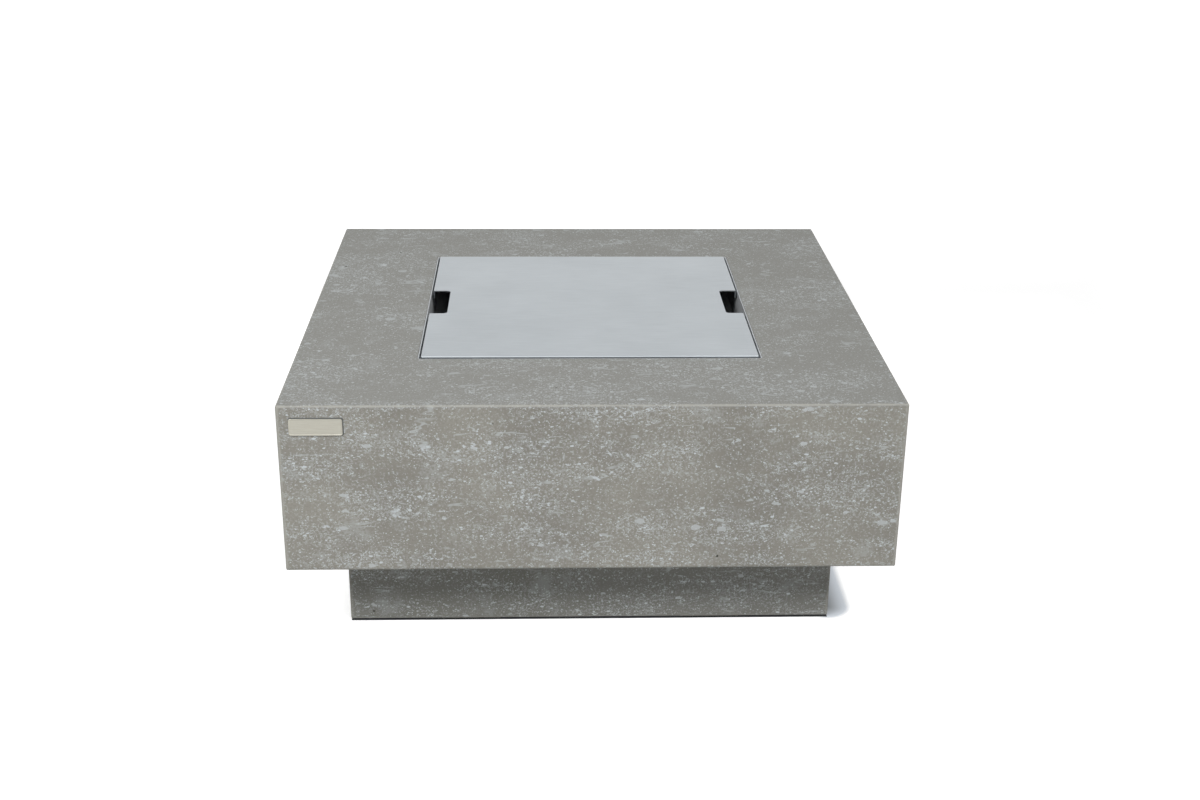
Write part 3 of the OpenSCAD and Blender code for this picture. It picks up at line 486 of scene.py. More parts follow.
    def _hairlines(self, tree: Tree, place: Socket) -> Socket:
        """Draws hairlines up to 40 mm long, nearly level and wider than real ones so that they show.

        Args:
            tree: The material's node tree.
            place: Object coordinates, in metres.

        Returns:
            How white the hairlines are.
        """
        drawn = add_node(
            tree, "ShaderNodeMapping", {"Rotation": (0.0, 0.1, 0.05), "Scale": (0.16, 0.5, 1.0)}, {"Vector": place}
        ).outputs[0]
        field = add_node(
            tree, "ShaderNodeTexNoise", {"Scale": per_metre(self.hair_mm), "Detail": 2.0}, {"Vector": drawn}
        ).outputs[0]
        line = self._level_line(tree, field, (0.03, 0.01), self.hair_strength)
        gate = add_node(
            tree, "ShaderNodeTexNoise", {"Scale": per_metre(38.0), "Detail": 2.0}, {"Vector": place}
        ).outputs[0]
        shown = add_node(
            tree, "ShaderNodeMapRange", {"From Min": 0.58, "From Max": 0.66}, {"Value": gate}
        ).outputs[0]
        return add_node(tree, "ShaderNodeMath", {}, {0: line, 1: shown}, operation="MULTIPLY").outputs[0]

    def _patch(self, tree: Tree, place: Socket, bands: Socket, clump: Clump) -> Socket:
        """Lays solid patches of slurry with ragged edges.

        Args:
            tree: The material's node tree.
            place: Object coordinates, in metres.
            bands: Where the slurry crowds.
            clump: The patches' size and number.

        Returns:
            How white the patches are.
        """
        drawn = add_node(
            tree, "ShaderNodeMapping", {"Scale": (1.0, 1.0 + (clump.lay - 1.0) * 0.4, clump.lay)}, {"Vector": place}
        ).outputs[0]
        spots = add_node(
            tree,
            "ShaderNodeTexNoise",
            {"Scale": per_metre(clump.size_mm), "Detail": 5.0, "Roughness": 0.6, "Distortion": 0.5},
            {"Vector": drawn},
        ).outputs[0]
        raised = add_node(
            tree, "ShaderNodeMath", {1: clump.crowding}, {0: bands, 2: spots}, operation="MULTIPLY_ADD"
        ).outputs[0]
        return add_node(
            tree,
            "ShaderNodeMapRange",
            {"From Min": clump.level, "From Max": clump.level + clump.edge, "To Max": self.clump_strength},
            {"Value": raised},
            interpolation_type="SMOOTHSTEP",
        ).outputs[0]

    def _mist(self, tree: Tree, place: Socket, sand: Socket) -> Socket:
        """Lays a soft haze, grainy with the sand.

        Args:
            tree: The material's node tree.
            place: Object coordinates, in metres.
            sand: The noise of the sand.

        Returns:
            How white the haze is.
        """
        cloud = add_node(
            tree,
            "ShaderNodeTexNoise",
            {"Scale": per_metre(self.haze_mm), "Detail": 4.0, "Roughness": 0.6},
            {"Vector": place},
        ).outputs[0]
        grainy = add_node(
            tree, "ShaderNodeMath", {1: self.haze_grain}, {0: sand, 2: cloud}, operation="MULTIPLY_ADD"
        ).outputs[0]
        return add_node(
            tree,
            "ShaderNodeMapRange",
            {"From Min": 0.74, "From Max": 0.98, "To Max": self.haze_strength},
            {"Value": grainy},
            interpolation_type="SMOOTHSTEP",
        ).outputs[0]

    def _salt(self, tree: Tree, sand: Socket, bands: Socket) -> Socket:
        """Strews the finest specks, about 1 mm wide, over the whole face and denser in the bands.

        Args:
            tree: The material's node tree.
            sand: The noise of the sand.
            bands: Where the slurry crowds.

        Returns:
            How white the specks are.
        """
        raised = add_node(
            tree, "ShaderNodeMath", {1: self.salt_crowding}, {0: bands, 2: sand}, operation="MULTIPLY_ADD"
        ).outputs[0]
        return add_node(
            tree,
            "ShaderNodeMapRange",
            {"From Min": 0.585, "From Max": 0.64, "To Max": self.salt_strength},
            {"Value": raised},
            interpolation_type="SMOOTHSTEP",
        ).outputs[0]

    def _paste(self, tree: Tree, place: Socket, top: Socket, sand: Socket) -> Socket:
        """Mixes the paste: cloudy, painted greyer and darker on the top to offset the stronger light there, and gritty
        with dark sand.

        Args:
            tree: The material's node tree.
            place: Object coordinates, in metres.
            top: 1 on the top and 0 on the sides.
            sand: The noise of the sand.

        Returns:
            The paste's colour.
        """
        cloud = add_node(
            tree,
            "ShaderNodeTexNoise",
            {"Scale": per_metre(self.cloud_mm), "Detail": 3.0, "Roughness": 0.5},
            {"Vector": place},
        ).outputs[0]
        tone = add_node(
            tree, "ShaderNodeMapRange", {"From Min": 0.36, "From Max": 0.6}, {"Value": cloud}
        ).outputs[0]
        grit = add_node(
            tree,
            "ShaderNodeMapRange",
            {"From Min": 0.45, "From Max": 0.33, "To Max": self.grit_strength},
            {"Value": sand},
        ).outputs[0]
        side = add_node(
            tree,
            "ShaderNodeMix",
            {6: linear(self.dark_paste), 7: linear(self.paste)},
            {0: tone},
            data_type="RGBA",
        ).outputs[2]
        # Painted shade: the top takes a darker paste to offset the stronger light on it.
        plain = add_node(
            tree, "ShaderNodeMix", {7: linear(self.top_paste)}, {0: top, 6: side}, data_type="RGBA"
        ).outputs[2]
        return add_node(
            tree, "ShaderNodeMix", {7: linear(self.grit)}, {0: grit, 6: plain}, data_type="RGBA"
        ).outputs[2]

    def _arris(self, tree: Tree, axes: bpy.types.Node, place: Socket) -> Socket:
        """Paints the outer edges lighter, as wear and as a painted highlight, where two of the casting's faces are only
        a few millimetres away.

        Args:
            tree: The material's node tree.
            axes: The separated Object coordinates.
            place: Object coordinates, in metres.

        Returns:
            How much lighter the edge is painted.
        """
        away = []
        for axis in ("X", "Y"):
            out = add_node(tree, "ShaderNodeMath", {}, {0: axes.outputs[axis]}, operation="ABSOLUTE").outputs[0]
            away.append(
                add_node(tree, "ShaderNodeMath", {0: self.half_width}, {1: out}, operation="SUBTRACT").outputs[0]
            )
        height = axes.outputs["Z"]
        above = add_node(tree, "ShaderNodeMath", {0: self.high}, {1: height}, operation="SUBTRACT").outputs[0]
        below = add_node(tree, "ShaderNodeMath", {1: self.low}, {0: height}, operation="SUBTRACT").outputs[0]
        level = add_node(tree, "ShaderNodeMath", {}, {0: above, 1: below}, operation="MINIMUM").outputs[0]
        near = add_node(tree, "ShaderNodeMath", {}, {0: away[0], 1: away[1]}, operation="MINIMUM").outputs[0]
        far = add_node(tree, "ShaderNodeMath", {}, {0: away[0], 1: away[1]}, operation="MAXIMUM").outputs[0]
        upright = add_node(
            tree, "ShaderNodeMath", {1: self.upright_share}, {0: far}, operation="MULTIPLY"
        ).outputs[0]
        mid = add_node(tree, "ShaderNodeMath", {}, {0: upright, 1: level}, operation="MINIMUM").outputs[0]
        second = add_node(tree, "ShaderNodeMath", {}, {0: near, 1: mid}, operation="MAXIMUM").outputs[0]
        wander = add_node(
            tree, "ShaderNodeTexNoise", {"Scale": per_metre(24.0), "Detail": 3.0}, {"Vector": place}
        ).outputs[0]
        edge = add_node(
            tree,
            "ShaderNodeMath",
            {1: self.rub_wander, 2: -self.rub_wander / 2},
            {0: wander},
            operation="MULTIPLY_ADD",
        ).outputs[0]
        reach = add_node(tree, "ShaderNodeMath", {}, {0: second, 1: edge}, operation="ADD").outputs[0]
        return add_node(
            tree,
            "ShaderNodeMapRange",
            {"From Min": self.rub_end, "From Max": self.rub_full, "To Max": self.rub_strength},
            {"Value": reach},
            interpolation_type="SMOOTHSTEP",
        ).outputs[0]

    def _pits(self, tree: Tree, place: Socket) -> Socket:
        """Opens a few blowholes: in some cells, a pit up to 5 mm wide, sunk by the bump and painted dark as shade.

        Args:
            tree: The material's node tree.
            place: Object coordinates, in metres.

        Returns:
            How deep each point lies in a pit.
        """
        cells = add_node(
            tree, "ShaderNodeTexVoronoi", {"Scale": per_metre(self.pit_cell_mm), "Randomness": 1.0}, {"Vector": place}
        )
        pick = add_node(tree, "ShaderNodeSeparateColor", links={0: cells.outputs["Color"]}).outputs[0]
        wide = add_node(
            tree,
            "ShaderNodeMapRange",
            {"From Min": 0.45, "From Max": 1.0, "To Max": self.pit_radius_mm / self.pit_cell_mm},
            {"Value": pick},
        ).outputs[0]
        inside = add_node(
            tree, "ShaderNodeMath", {}, {0: wide, 1: cells.outputs["Distance"]}, operation="SUBTRACT"
        ).outputs[0]
        return add_node(
            tree,
            "ShaderNodeMapRange",
            {"From Min": 0.0, "From Max": self.pit_edge_mm / self.pit_cell_mm, "To Max": self.pit_strength},
            {"Value": inside},
            interpolation_type="SMOOTHSTEP",
        ).outputs[0]

    def _relief(self, tree: Tree, shader: bpy.types.Node, sand: Socket, pits: Socket) -> None:
        """Sinks the pits, gives the face a sandy tooth and varies its sheen.

        Args:
            tree: The material's node tree.
            shader: Its Principled BSDF.
            sand: The noise of the sand.
            pits: How deep each point lies in a pit.
        """
        holes = add_node(
            tree, "ShaderNodeMath", {1: -self.pit_depth}, {0: pits, 2: sand}, operation="MULTIPLY_ADD"
        ).outputs[0]
        bump = add_node(
            tree, "ShaderNodeBump", {"Strength": 0.3, "Distance": 0.8 * MM}, {"Height": holes}
        ).outputs[0]
        tree.links.new(bump, shader.inputs["Normal"])
        sheen = add_node(
            tree, "ShaderNodeMapRange", {"To Min": 0.72, "To Max": 0.9}, {"Value": sand}
        ).outputs[0]
        tree.links.new(sheen, shader.inputs["Roughness"])
        shader.inputs["Specular IOR Level"].default_value = 0.08


@dataclass(frozen=True)
class BrushedSteel(Finish):
    """Stainless sheet with a satin brushed grain: even, pale and faintly streaked along the brushing."""

    colour: str = "#b6bcc0"
    streak: str = "#abb1b5"
    grain: Grain = Grain.ALONG_X
    grain_mm: float = 0.9
    cloud_mm: float = 90.0
    cloud_share: float = 0.5
    roughness: float = 0.34
    uneven: float = 0.06
    relief: float = 0.06
    relief_depth: float = 0.1 * MM
    metallic: float = 1.0

    def paint(self, tree: Tree, shader: bpy.types.Node, place: Socket) -> None:
        """Adds the scratches, drawn coarser than real ones so that they show.

        Args:
            tree: The material's node tree.
            shader: Its Principled BSDF.
            place: Object coordinates, in metres.
        """
        drawn = add_node(tree, "ShaderNodeMapping", {"Scale": self.grain.value}, {"Vector": place}).outputs[0]
        scratch = add_node(
            tree,
            "ShaderNodeTexNoise",
            {"Scale": per_metre(self.grain_mm), "Detail": 3.0, "Roughness": 0.7},
            {"Vector": drawn},
        ).outputs[0]
        cloud = add_node(
            tree, "ShaderNodeTexNoise", {"Scale": per_metre(self.cloud_mm), "Detail": 2.0}, {"Vector": place}
        ).outputs[0]
        blend = add_node(
            tree, "ShaderNodeMath", {1: self.cloud_share}, {0: cloud, 2: scratch}, operation="MULTIPLY_ADD"
        ).outputs[0]
        tone = add_node(
            tree, "ShaderNodeMapRange", {"From Min": 0.55, "From Max": 0.95}, {"Value": blend}
        ).outputs[0]
        self.coat(
            tree,
            shader,
            (self.streak, self.colour),
            tone,
            (self.roughness + self.uneven, self.roughness - self.uneven),
            scratch,
            (self.relief, self.relief_depth),
            scratch,
        )
        shader.inputs["Metallic"].default_value = self.metallic


@dataclass(frozen=True)
class MottledMetal(Finish):
    """Plated, forged or tarnished metal: two tones in soft patches over a fine tooth."""

    colour: str = "#a3a6a6"
    patch: str = "#8d9192"
    patch_mm: float = 6.0
    roughness: float = 0.38
    duller: float = 0.1
    shinier: float = 0.06
    tooth_mm: float = 0.8
    relief: float = 0.12
    relief_depth: float = 0.15 * MM

    def paint(self, tree: Tree, shader: bpy.types.Node, place: Socket) -> None:
        """Adds the patches and the tooth.

        Args:
            tree: The material's node tree.
            shader: Its Principled BSDF.
            place: Object coordinates, in metres.
        """
        patches = add_node(
            tree, "ShaderNodeTexNoise", {"Scale": per_metre(self.patch_mm), "Detail": 3.0}, {"Vector": place}
        ).outputs[0]
        tone = add_node(
            tree, "ShaderNodeMapRange", {"From Min": 0.38, "From Max": 0.62}, {"Value": patches}
        ).outputs[0]
        tooth = add_node(
            tree, "ShaderNodeTexNoise", {"Scale": per_metre(self.tooth_mm), "Detail": 3.0}, {"Vector": place}
        ).outputs[0]
        self.coat(
            tree,
            shader,
            (self.patch, self.colour),
            tone,
            (self.roughness + self.duller, self.roughness - self.shinier),
            patches,
            (self.relief, self.relief_depth),
            tooth,
        )
        shader.inputs["Metallic"].default_value = 1.0


@dataclass(frozen=True)
class MouldedSkin(Finish):
    """Moulded plastic, rubber, ceramic or paint: one colour, a fine tooth and slightly dusty patches."""

    colour: str = "#2a2a2b"
    dust: str = "#3a3a3a"
    film_mm: float = 14.0
    roughness: float = 0.5
    shinier: float = 0.06
    duller: float = 0.1
    tooth_mm: float = 0.6
    relief: float = 0.15
    relief_depth: float = 0.1 * MM

    def paint(self, tree: Tree, shader: bpy.types.Node, place: Socket) -> None:
        """Adds the tooth, the dust and the uneven sheen.

        Args:
            tree: The material's node tree.
            shader: Its Principled BSDF.
            place: Object coordinates, in metres.
        """
        tooth = add_node(
            tree, "ShaderNodeTexNoise", {"Scale": per_metre(self.tooth_mm), "Detail": 2.0}, {"Vector": place}
        ).outputs[0]
        film = add_node(
            tree, "ShaderNodeTexNoise", {"Scale": per_metre(self.film_mm), "Detail": 4.0}, {"Vector": place}
        ).outputs[0]
        dusty = add_node(
            tree, "ShaderNodeMapRange", {"From Min": 0.5, "From Max": 0.8, "To Max": 0.6}, {"Value": film}
        ).outputs[0]
        self.coat(
            tree,
            shader,
            (self.colour, self.dust),
            dusty,
            (self.roughness - self.shinier, self.roughness + self.duller),
            film,
            (self.relief, self.relief_depth),
            tooth,
        )


@dataclass(frozen=True)
class LavaStone(Finish):
    """Crushed basalt lava: dull charcoal, rusty in places and full of gas bubbles, whose hollows are painted dark as
    shade.
    """

    colour: str = "#3d3a38"
    rust: str = "#4f3a31"
    # Inside the bubbles: near black, painted as shade.
    hollow: str = "#1b1a19"
    bubble_mm: float = 3.2
    rust_mm: float = 30.0
    grit_mm: float = 1.4
    grit_share: float = 0.3

    def paint(self, tree: Tree, shader: bpy.types.Node, place: Socket) -> None:
        """Adds the bubbles with their hollows painted dark as shade, the rust and the grit.

        Args:
            tree: The material's node tree.
            shader: Its Principled BSDF.
            place: Object coordinates, in metres.
        """
        bubbles = add_node(
            tree, "ShaderNodeTexVoronoi", {"Scale": per_metre(self.bubble_mm), "Randomness": 1.0}, {"Vector": place}
        ).outputs["Distance"]
        open_walls = add_node(
            tree, "ShaderNodeMapRange", {"From Min": 0.2, "From Max": 0.48}, {"Value": bubbles}
        ).outputs[0]
        cloud = add_node(
            tree, "ShaderNodeTexNoise", {"Scale": per_metre(self.rust_mm), "Detail": 4.0}, {"Vector": place}
        ).outputs[0]
        rusty = add_node(
            tree, "ShaderNodeMapRange", {"From Min": 0.5, "From Max": 0.68}, {"Value": cloud}
        ).outputs[0]
        stone = add_node(
            tree,
            "ShaderNodeMix",
            {6: linear(self.colour), 7: linear(self.rust)},
            {0: rusty},
            data_type="RGBA",
        ).outputs[2]
        colour = add_node(
            tree, "ShaderNodeMix", {6: linear(self.hollow)}, {0: open_walls, 7: stone}, data_type="RGBA"
        ).outputs[2]
        tree.links.new(colour, shader.inputs["Base Color"])
        grit = add_node(
            tree, "ShaderNodeTexNoise", {"Scale": per_metre(self.grit_mm), "Detail": 3.0}, {"Vector": place}
        ).outputs[0]
        height = add_node(
            tree, "ShaderNodeMath", {1: self.grit_share}, {0: grit, 2: open_walls}, operation="MULTIPLY_ADD"
        ).outputs[0]
        bump = add_node(
            tree, "ShaderNodeBump", {"Strength": 0.7, "Distance": 0.9 * MM}, {"Height": height}
        ).outputs[0]
        tree.links.new(bump, shader.inputs["Normal"])
        shader.inputs["Roughness"].default_value = 0.92


# Rolled stainless sheet, brushed from side to side: pale and even.
LID_STEEL = BrushedSteel("Brushed stainless lid")
# The same sheet, bent and welded into the pan: pickled matt, brushed upright.
PAN_STEEL = BrushedSteel(
    "Dull stainless pan",
    colour="#c0c3c5",
    streak="#b0b3b5",
    grain=Grain.ALONG_Z,
    roughness=0.5,
    metallic=0.1,
)
# Plate behind the control niche, brushed along its length.
PANEL_STEEL = BrushedSteel("Brushed stainless panel", grain=Grain.ALONG_Y, roughness=0.36)
# Stainless tube that has been hot: straw and brown patches.
BURNER_STEEL = MottledMetal("Heat-tinted stainless", colour="#a7a39c", patch="#8a7763", patch_mm=34.0, roughness=0.36)
# Zinc plate over mild steel: pale grey with a faint spangle.
ZINC = MottledMetal("Zinc-plated steel")
# Corrugated stainless tube, drawn bright: pale, with soft darker patches.
HOSE_STEEL = MottledMetal("Corrugated stainless hose", colour="#aaadb0", patch="#989b9e", patch_mm=12.0, roughness=0.3)
# Turned and forged brass, slightly tarnished.
BRASS = MottledMetal("Forged brass", colour="#c2a05a", patch="#a98748", patch_mm=9.0, roughness=0.32)
# Copper of the flame sensor, dulled by heat.
COPPER = MottledMetal("Dull copper", colour="#b0724a", patch="#8d5638", patch_mm=7.0, roughness=0.42)
# Satin nickel plate, warm beside the steel.
NICKEL = BrushedSteel("Satin nickel plate", colour="#a9a79d", streak="#9d9b91", grain_mm=0.5, roughness=0.4)
# Black rubber, dusty and matt.
RUBBER = MouldedSkin("Black rubber", colour="#1d1d1f", dust="#2c2c2d", roughness=0.75, tooth_mm=1.2, relief=0.25)
# Sealant behind the badge plate, grey and tooled by hand: dull, with a little dust, and wider past the plate's upper
# and right edges as a painted shadow.
SEALANT = MouldedSkin("Grey sealant", colour="#5a5c5a", dust="#686a67", roughness=0.6, tooth_mm=1.0)
# Heat-resistant black plastic with a fine spark-eroded tooth.
PLASTIC = MouldedSkin("Black phenolic plastic", colour="#1f1f20", dust="#2a2a2b", roughness=0.45)
# Paint in the knob's pointer: off-white and half matt.
PAINT = MouldedSkin("White marking paint", colour="#e4e4e0", dust="#cfcfca", roughness=0.5)
# Unglazed electrical porcelain: cream and matt.
PORCELAIN = MouldedSkin("Unglazed porcelain", colour="#e9e4d8", dust="#d8d0bf", roughness=0.6, tooth_mm=1.0)
# Silicone sleeve of the ignition lead: red-brown with a soft sheen.
SILICONE = MouldedSkin("Red-brown silicone sleeve", colour="#7a2e26", dust="#85443c", roughness=0.55)
# Painted jacket of the battery: slate grey and half glossy.
JACKET = MouldedSkin("Painted steel jacket", colour="#4b4f55", dust="#5a5e63", roughness=0.35)
# Crushed basalt lava: charcoal with rust and open bubbles, painted dark inside as shade.
LAVA = LavaStone("Crushed basalt lava")


def put_piece(
    name: str, bm: bmesh.types.BMesh, body: str, finish: Finish, sharp: float = 35.0
) -> bpy.types.Object:
    """Turns a bmesh into a finished piece that rides on a body.

    Args:
        name: The piece's name.
        bm: Its shape, in the model's frame; it is freed here.
        body: The body that the piece moves with.
        finish: The finish of the whole piece.
        sharp: Angle in degrees above which an edge stays sharp.

    Returns:
        The new object.
    """
    for face in bm.faces:
        face.smooth = True
    for edge in bm.edges:
        edge.smooth = edge.is_manifold and edge.calc_face_angle(0.0) < math.radians(sharp)
    mesh = bpy.data.meshes.new(name)
    bm.to_mesh(mesh)
    bm.free()
    piece = bpy.data.objects.new(name, mesh)
    bpy.context.scene.collection.objects.link(piece)
    mesh.materials.append(finish.material())
    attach(piece, body)
    log.info("%s: %d faces on %s", name, len(mesh.polygons), body)
    return piece


def dress(frame: dict[str, Any], finish: Finish, names: Iterable[str]) -> None:
    """Gives CAD nodes a finish.

    Args:
        finish: The finish.
        names: The nodes that take it.
    """
    for name in names:
        node = frame["nodes"][name]
        if not node.material_slots:
            node.data.materials.append(None)
        for place in node.material_slots:
            place.material = finish.material()
        log.info("%s: %s", name, finish.name)


@dataclass
class Casting:
    """The hollow block, the plinth under it and the pads that it stands on."""

    frame: dict[str, Any]
    # The plinth's rub starts a little above its lower rim, and its upper end is hidden in the block.
    rim_lift: float = 1.5 * MM
    hidden: float = 50.0 * MM

    def build(self) -> None:
        """Dresses the castings and the pads."""
        block_low, block_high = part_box("table_shell")
        foot_low, foot_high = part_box("plinth")
        # Cast face of the block: warm grey, with flecks that crowd in bands.
        block = CastConcrete("Cast concrete block", half_width=block_high.x, low=block_low.z, high=block_high.z)
        # The same mix in the plinth, painted darker and colder as shade for its place under the block's overhang.
        plinth = CastConcrete(
            "Cast concrete plinth",
            half_width=foot_high.x,
            low=foot_low.z + self.rim_lift,
            high=foot_high.z + self.hidden,
            paste="#888883",
            dark_paste="#83837d",
            slurry="#cbd0d2",
            rubbed="#9c9b94",
        )
        dress(self.frame, block, ["table_shell"])
        dress(self.frame, plinth, ["plinth"])
        dress(self.frame, RUBBER, ["foot_pads"])


@dataclass
class BadgePlate:
    """Small blank plate on the front: a flat field inside a raised rim, bedded on grey sealant that also stands in for
    its shadow.
    """

    rim: float = 1.3 * MM
    sink: float = 0.5 * MM
    corner: float = 3.2 * MM
    edge: float = 0.5 * MM
    # Sealant that shows past the plate's left and lower edges, and past its right and upper ones, wider there as a
    # painted shadow line.
    bead_low_mm: Triple = (0.2, 0.0, 0.6)
    bead_high_mm: Triple = (1.6, 0.0, 1.8)

    def build(self) -> None:
        """Makes the plate where the plain one is, and the bead round its foot, which also paints its shadow."""
        low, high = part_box("badge_plate")
        self._plate(low, high)
        self._bead(low, high)

    def _slab(self, low: Vector, high: Vector) -> tuple[bmesh.types.BMesh, list[bmesh.types.BMFace]]:
        """Makes a flat block with round corners.

        Args:
            low: Its lowest corner.
            high: Its highest corner.

        Returns:
            The block and its one front face, in a list.
        """
        size = high - low
        bm = bmesh.new()
        bmesh.ops.create_cube(bm, size=1.0)
        bmesh.ops.scale(bm, vec=size, verts=bm.verts)
        bmesh.ops.translate(bm, vec=(low + high) / 2, verts=bm.verts)
        inward = [e for e in bm.edges if abs((e.verts[0].co - e.verts[1].co).y) > size.y / 2]
        bmesh.ops.bevel(
            bm, geom=inward, offset=self.corner, affect="EDGES", segments=6, profile=0.5, material=-1
        )
        return bm, [f for f in bm.faces if f.normal.y < -0.9]

    def _bead(self, low: Vector, high: Vector) -> None:
        """Runs the sealant round the plate's foot, sloped from the wall to the plate's side; wider above and to the
        right, it is partly a painted shadow.

        Args:
            low: The plate's lowest corner.
            high: Its highest corner, on the wall.
        """
        low = low - Vector(self.bead_low_mm) * MM
        high = high + Vector(self.bead_high_mm) * MM
        low.y = (low.y + high.y) / 2
        bm, front = self._slab(low, high)
        rims = [e for f in front for e in f.edges]
        slope = (high.y - low.y) / 1.1
        bmesh.ops.bevel(bm, geom=rims, offset=slope, affect="EDGES", segments=3, profile=0.5, material=-1)
        put_piece("badge_shadow_bead", bm, "base", SEALANT)

    def _plate(self, low: Vector, high: Vector) -> None:
        """Presses the plate.

        Args:
            low: The plate's lowest corner.
            high: Its highest corner, on the wall.
        """
        bm, front = self._slab(low, high)
        bmesh.ops.inset_region(bm, faces=front, thickness=self.rim, use_even_offset=True)
        bmesh.ops.inset_region(bm, faces=front, thickness=self.sink, use_even_offset=True)
        bmesh.ops.translate(bm, vec=(0, self.sink, 0), verts=[v for f in front for v in f.verts])
        rims = [
            e
            for e in bm.edges
            if e.calc_face_angle(0.0) > math.radians(60) and all(v.co.y < low.y + 0.1 * MM for v in e.verts)
        ]
        bmesh.ops.bevel(
            bm, geom=rims, offset=self.edge, affect="EDGES", segments=3, profile=0.5, material=-1
        )
        plate = put_piece("blank_badge_plate", bm, "base", NICKEL)
        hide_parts("badge_plate")


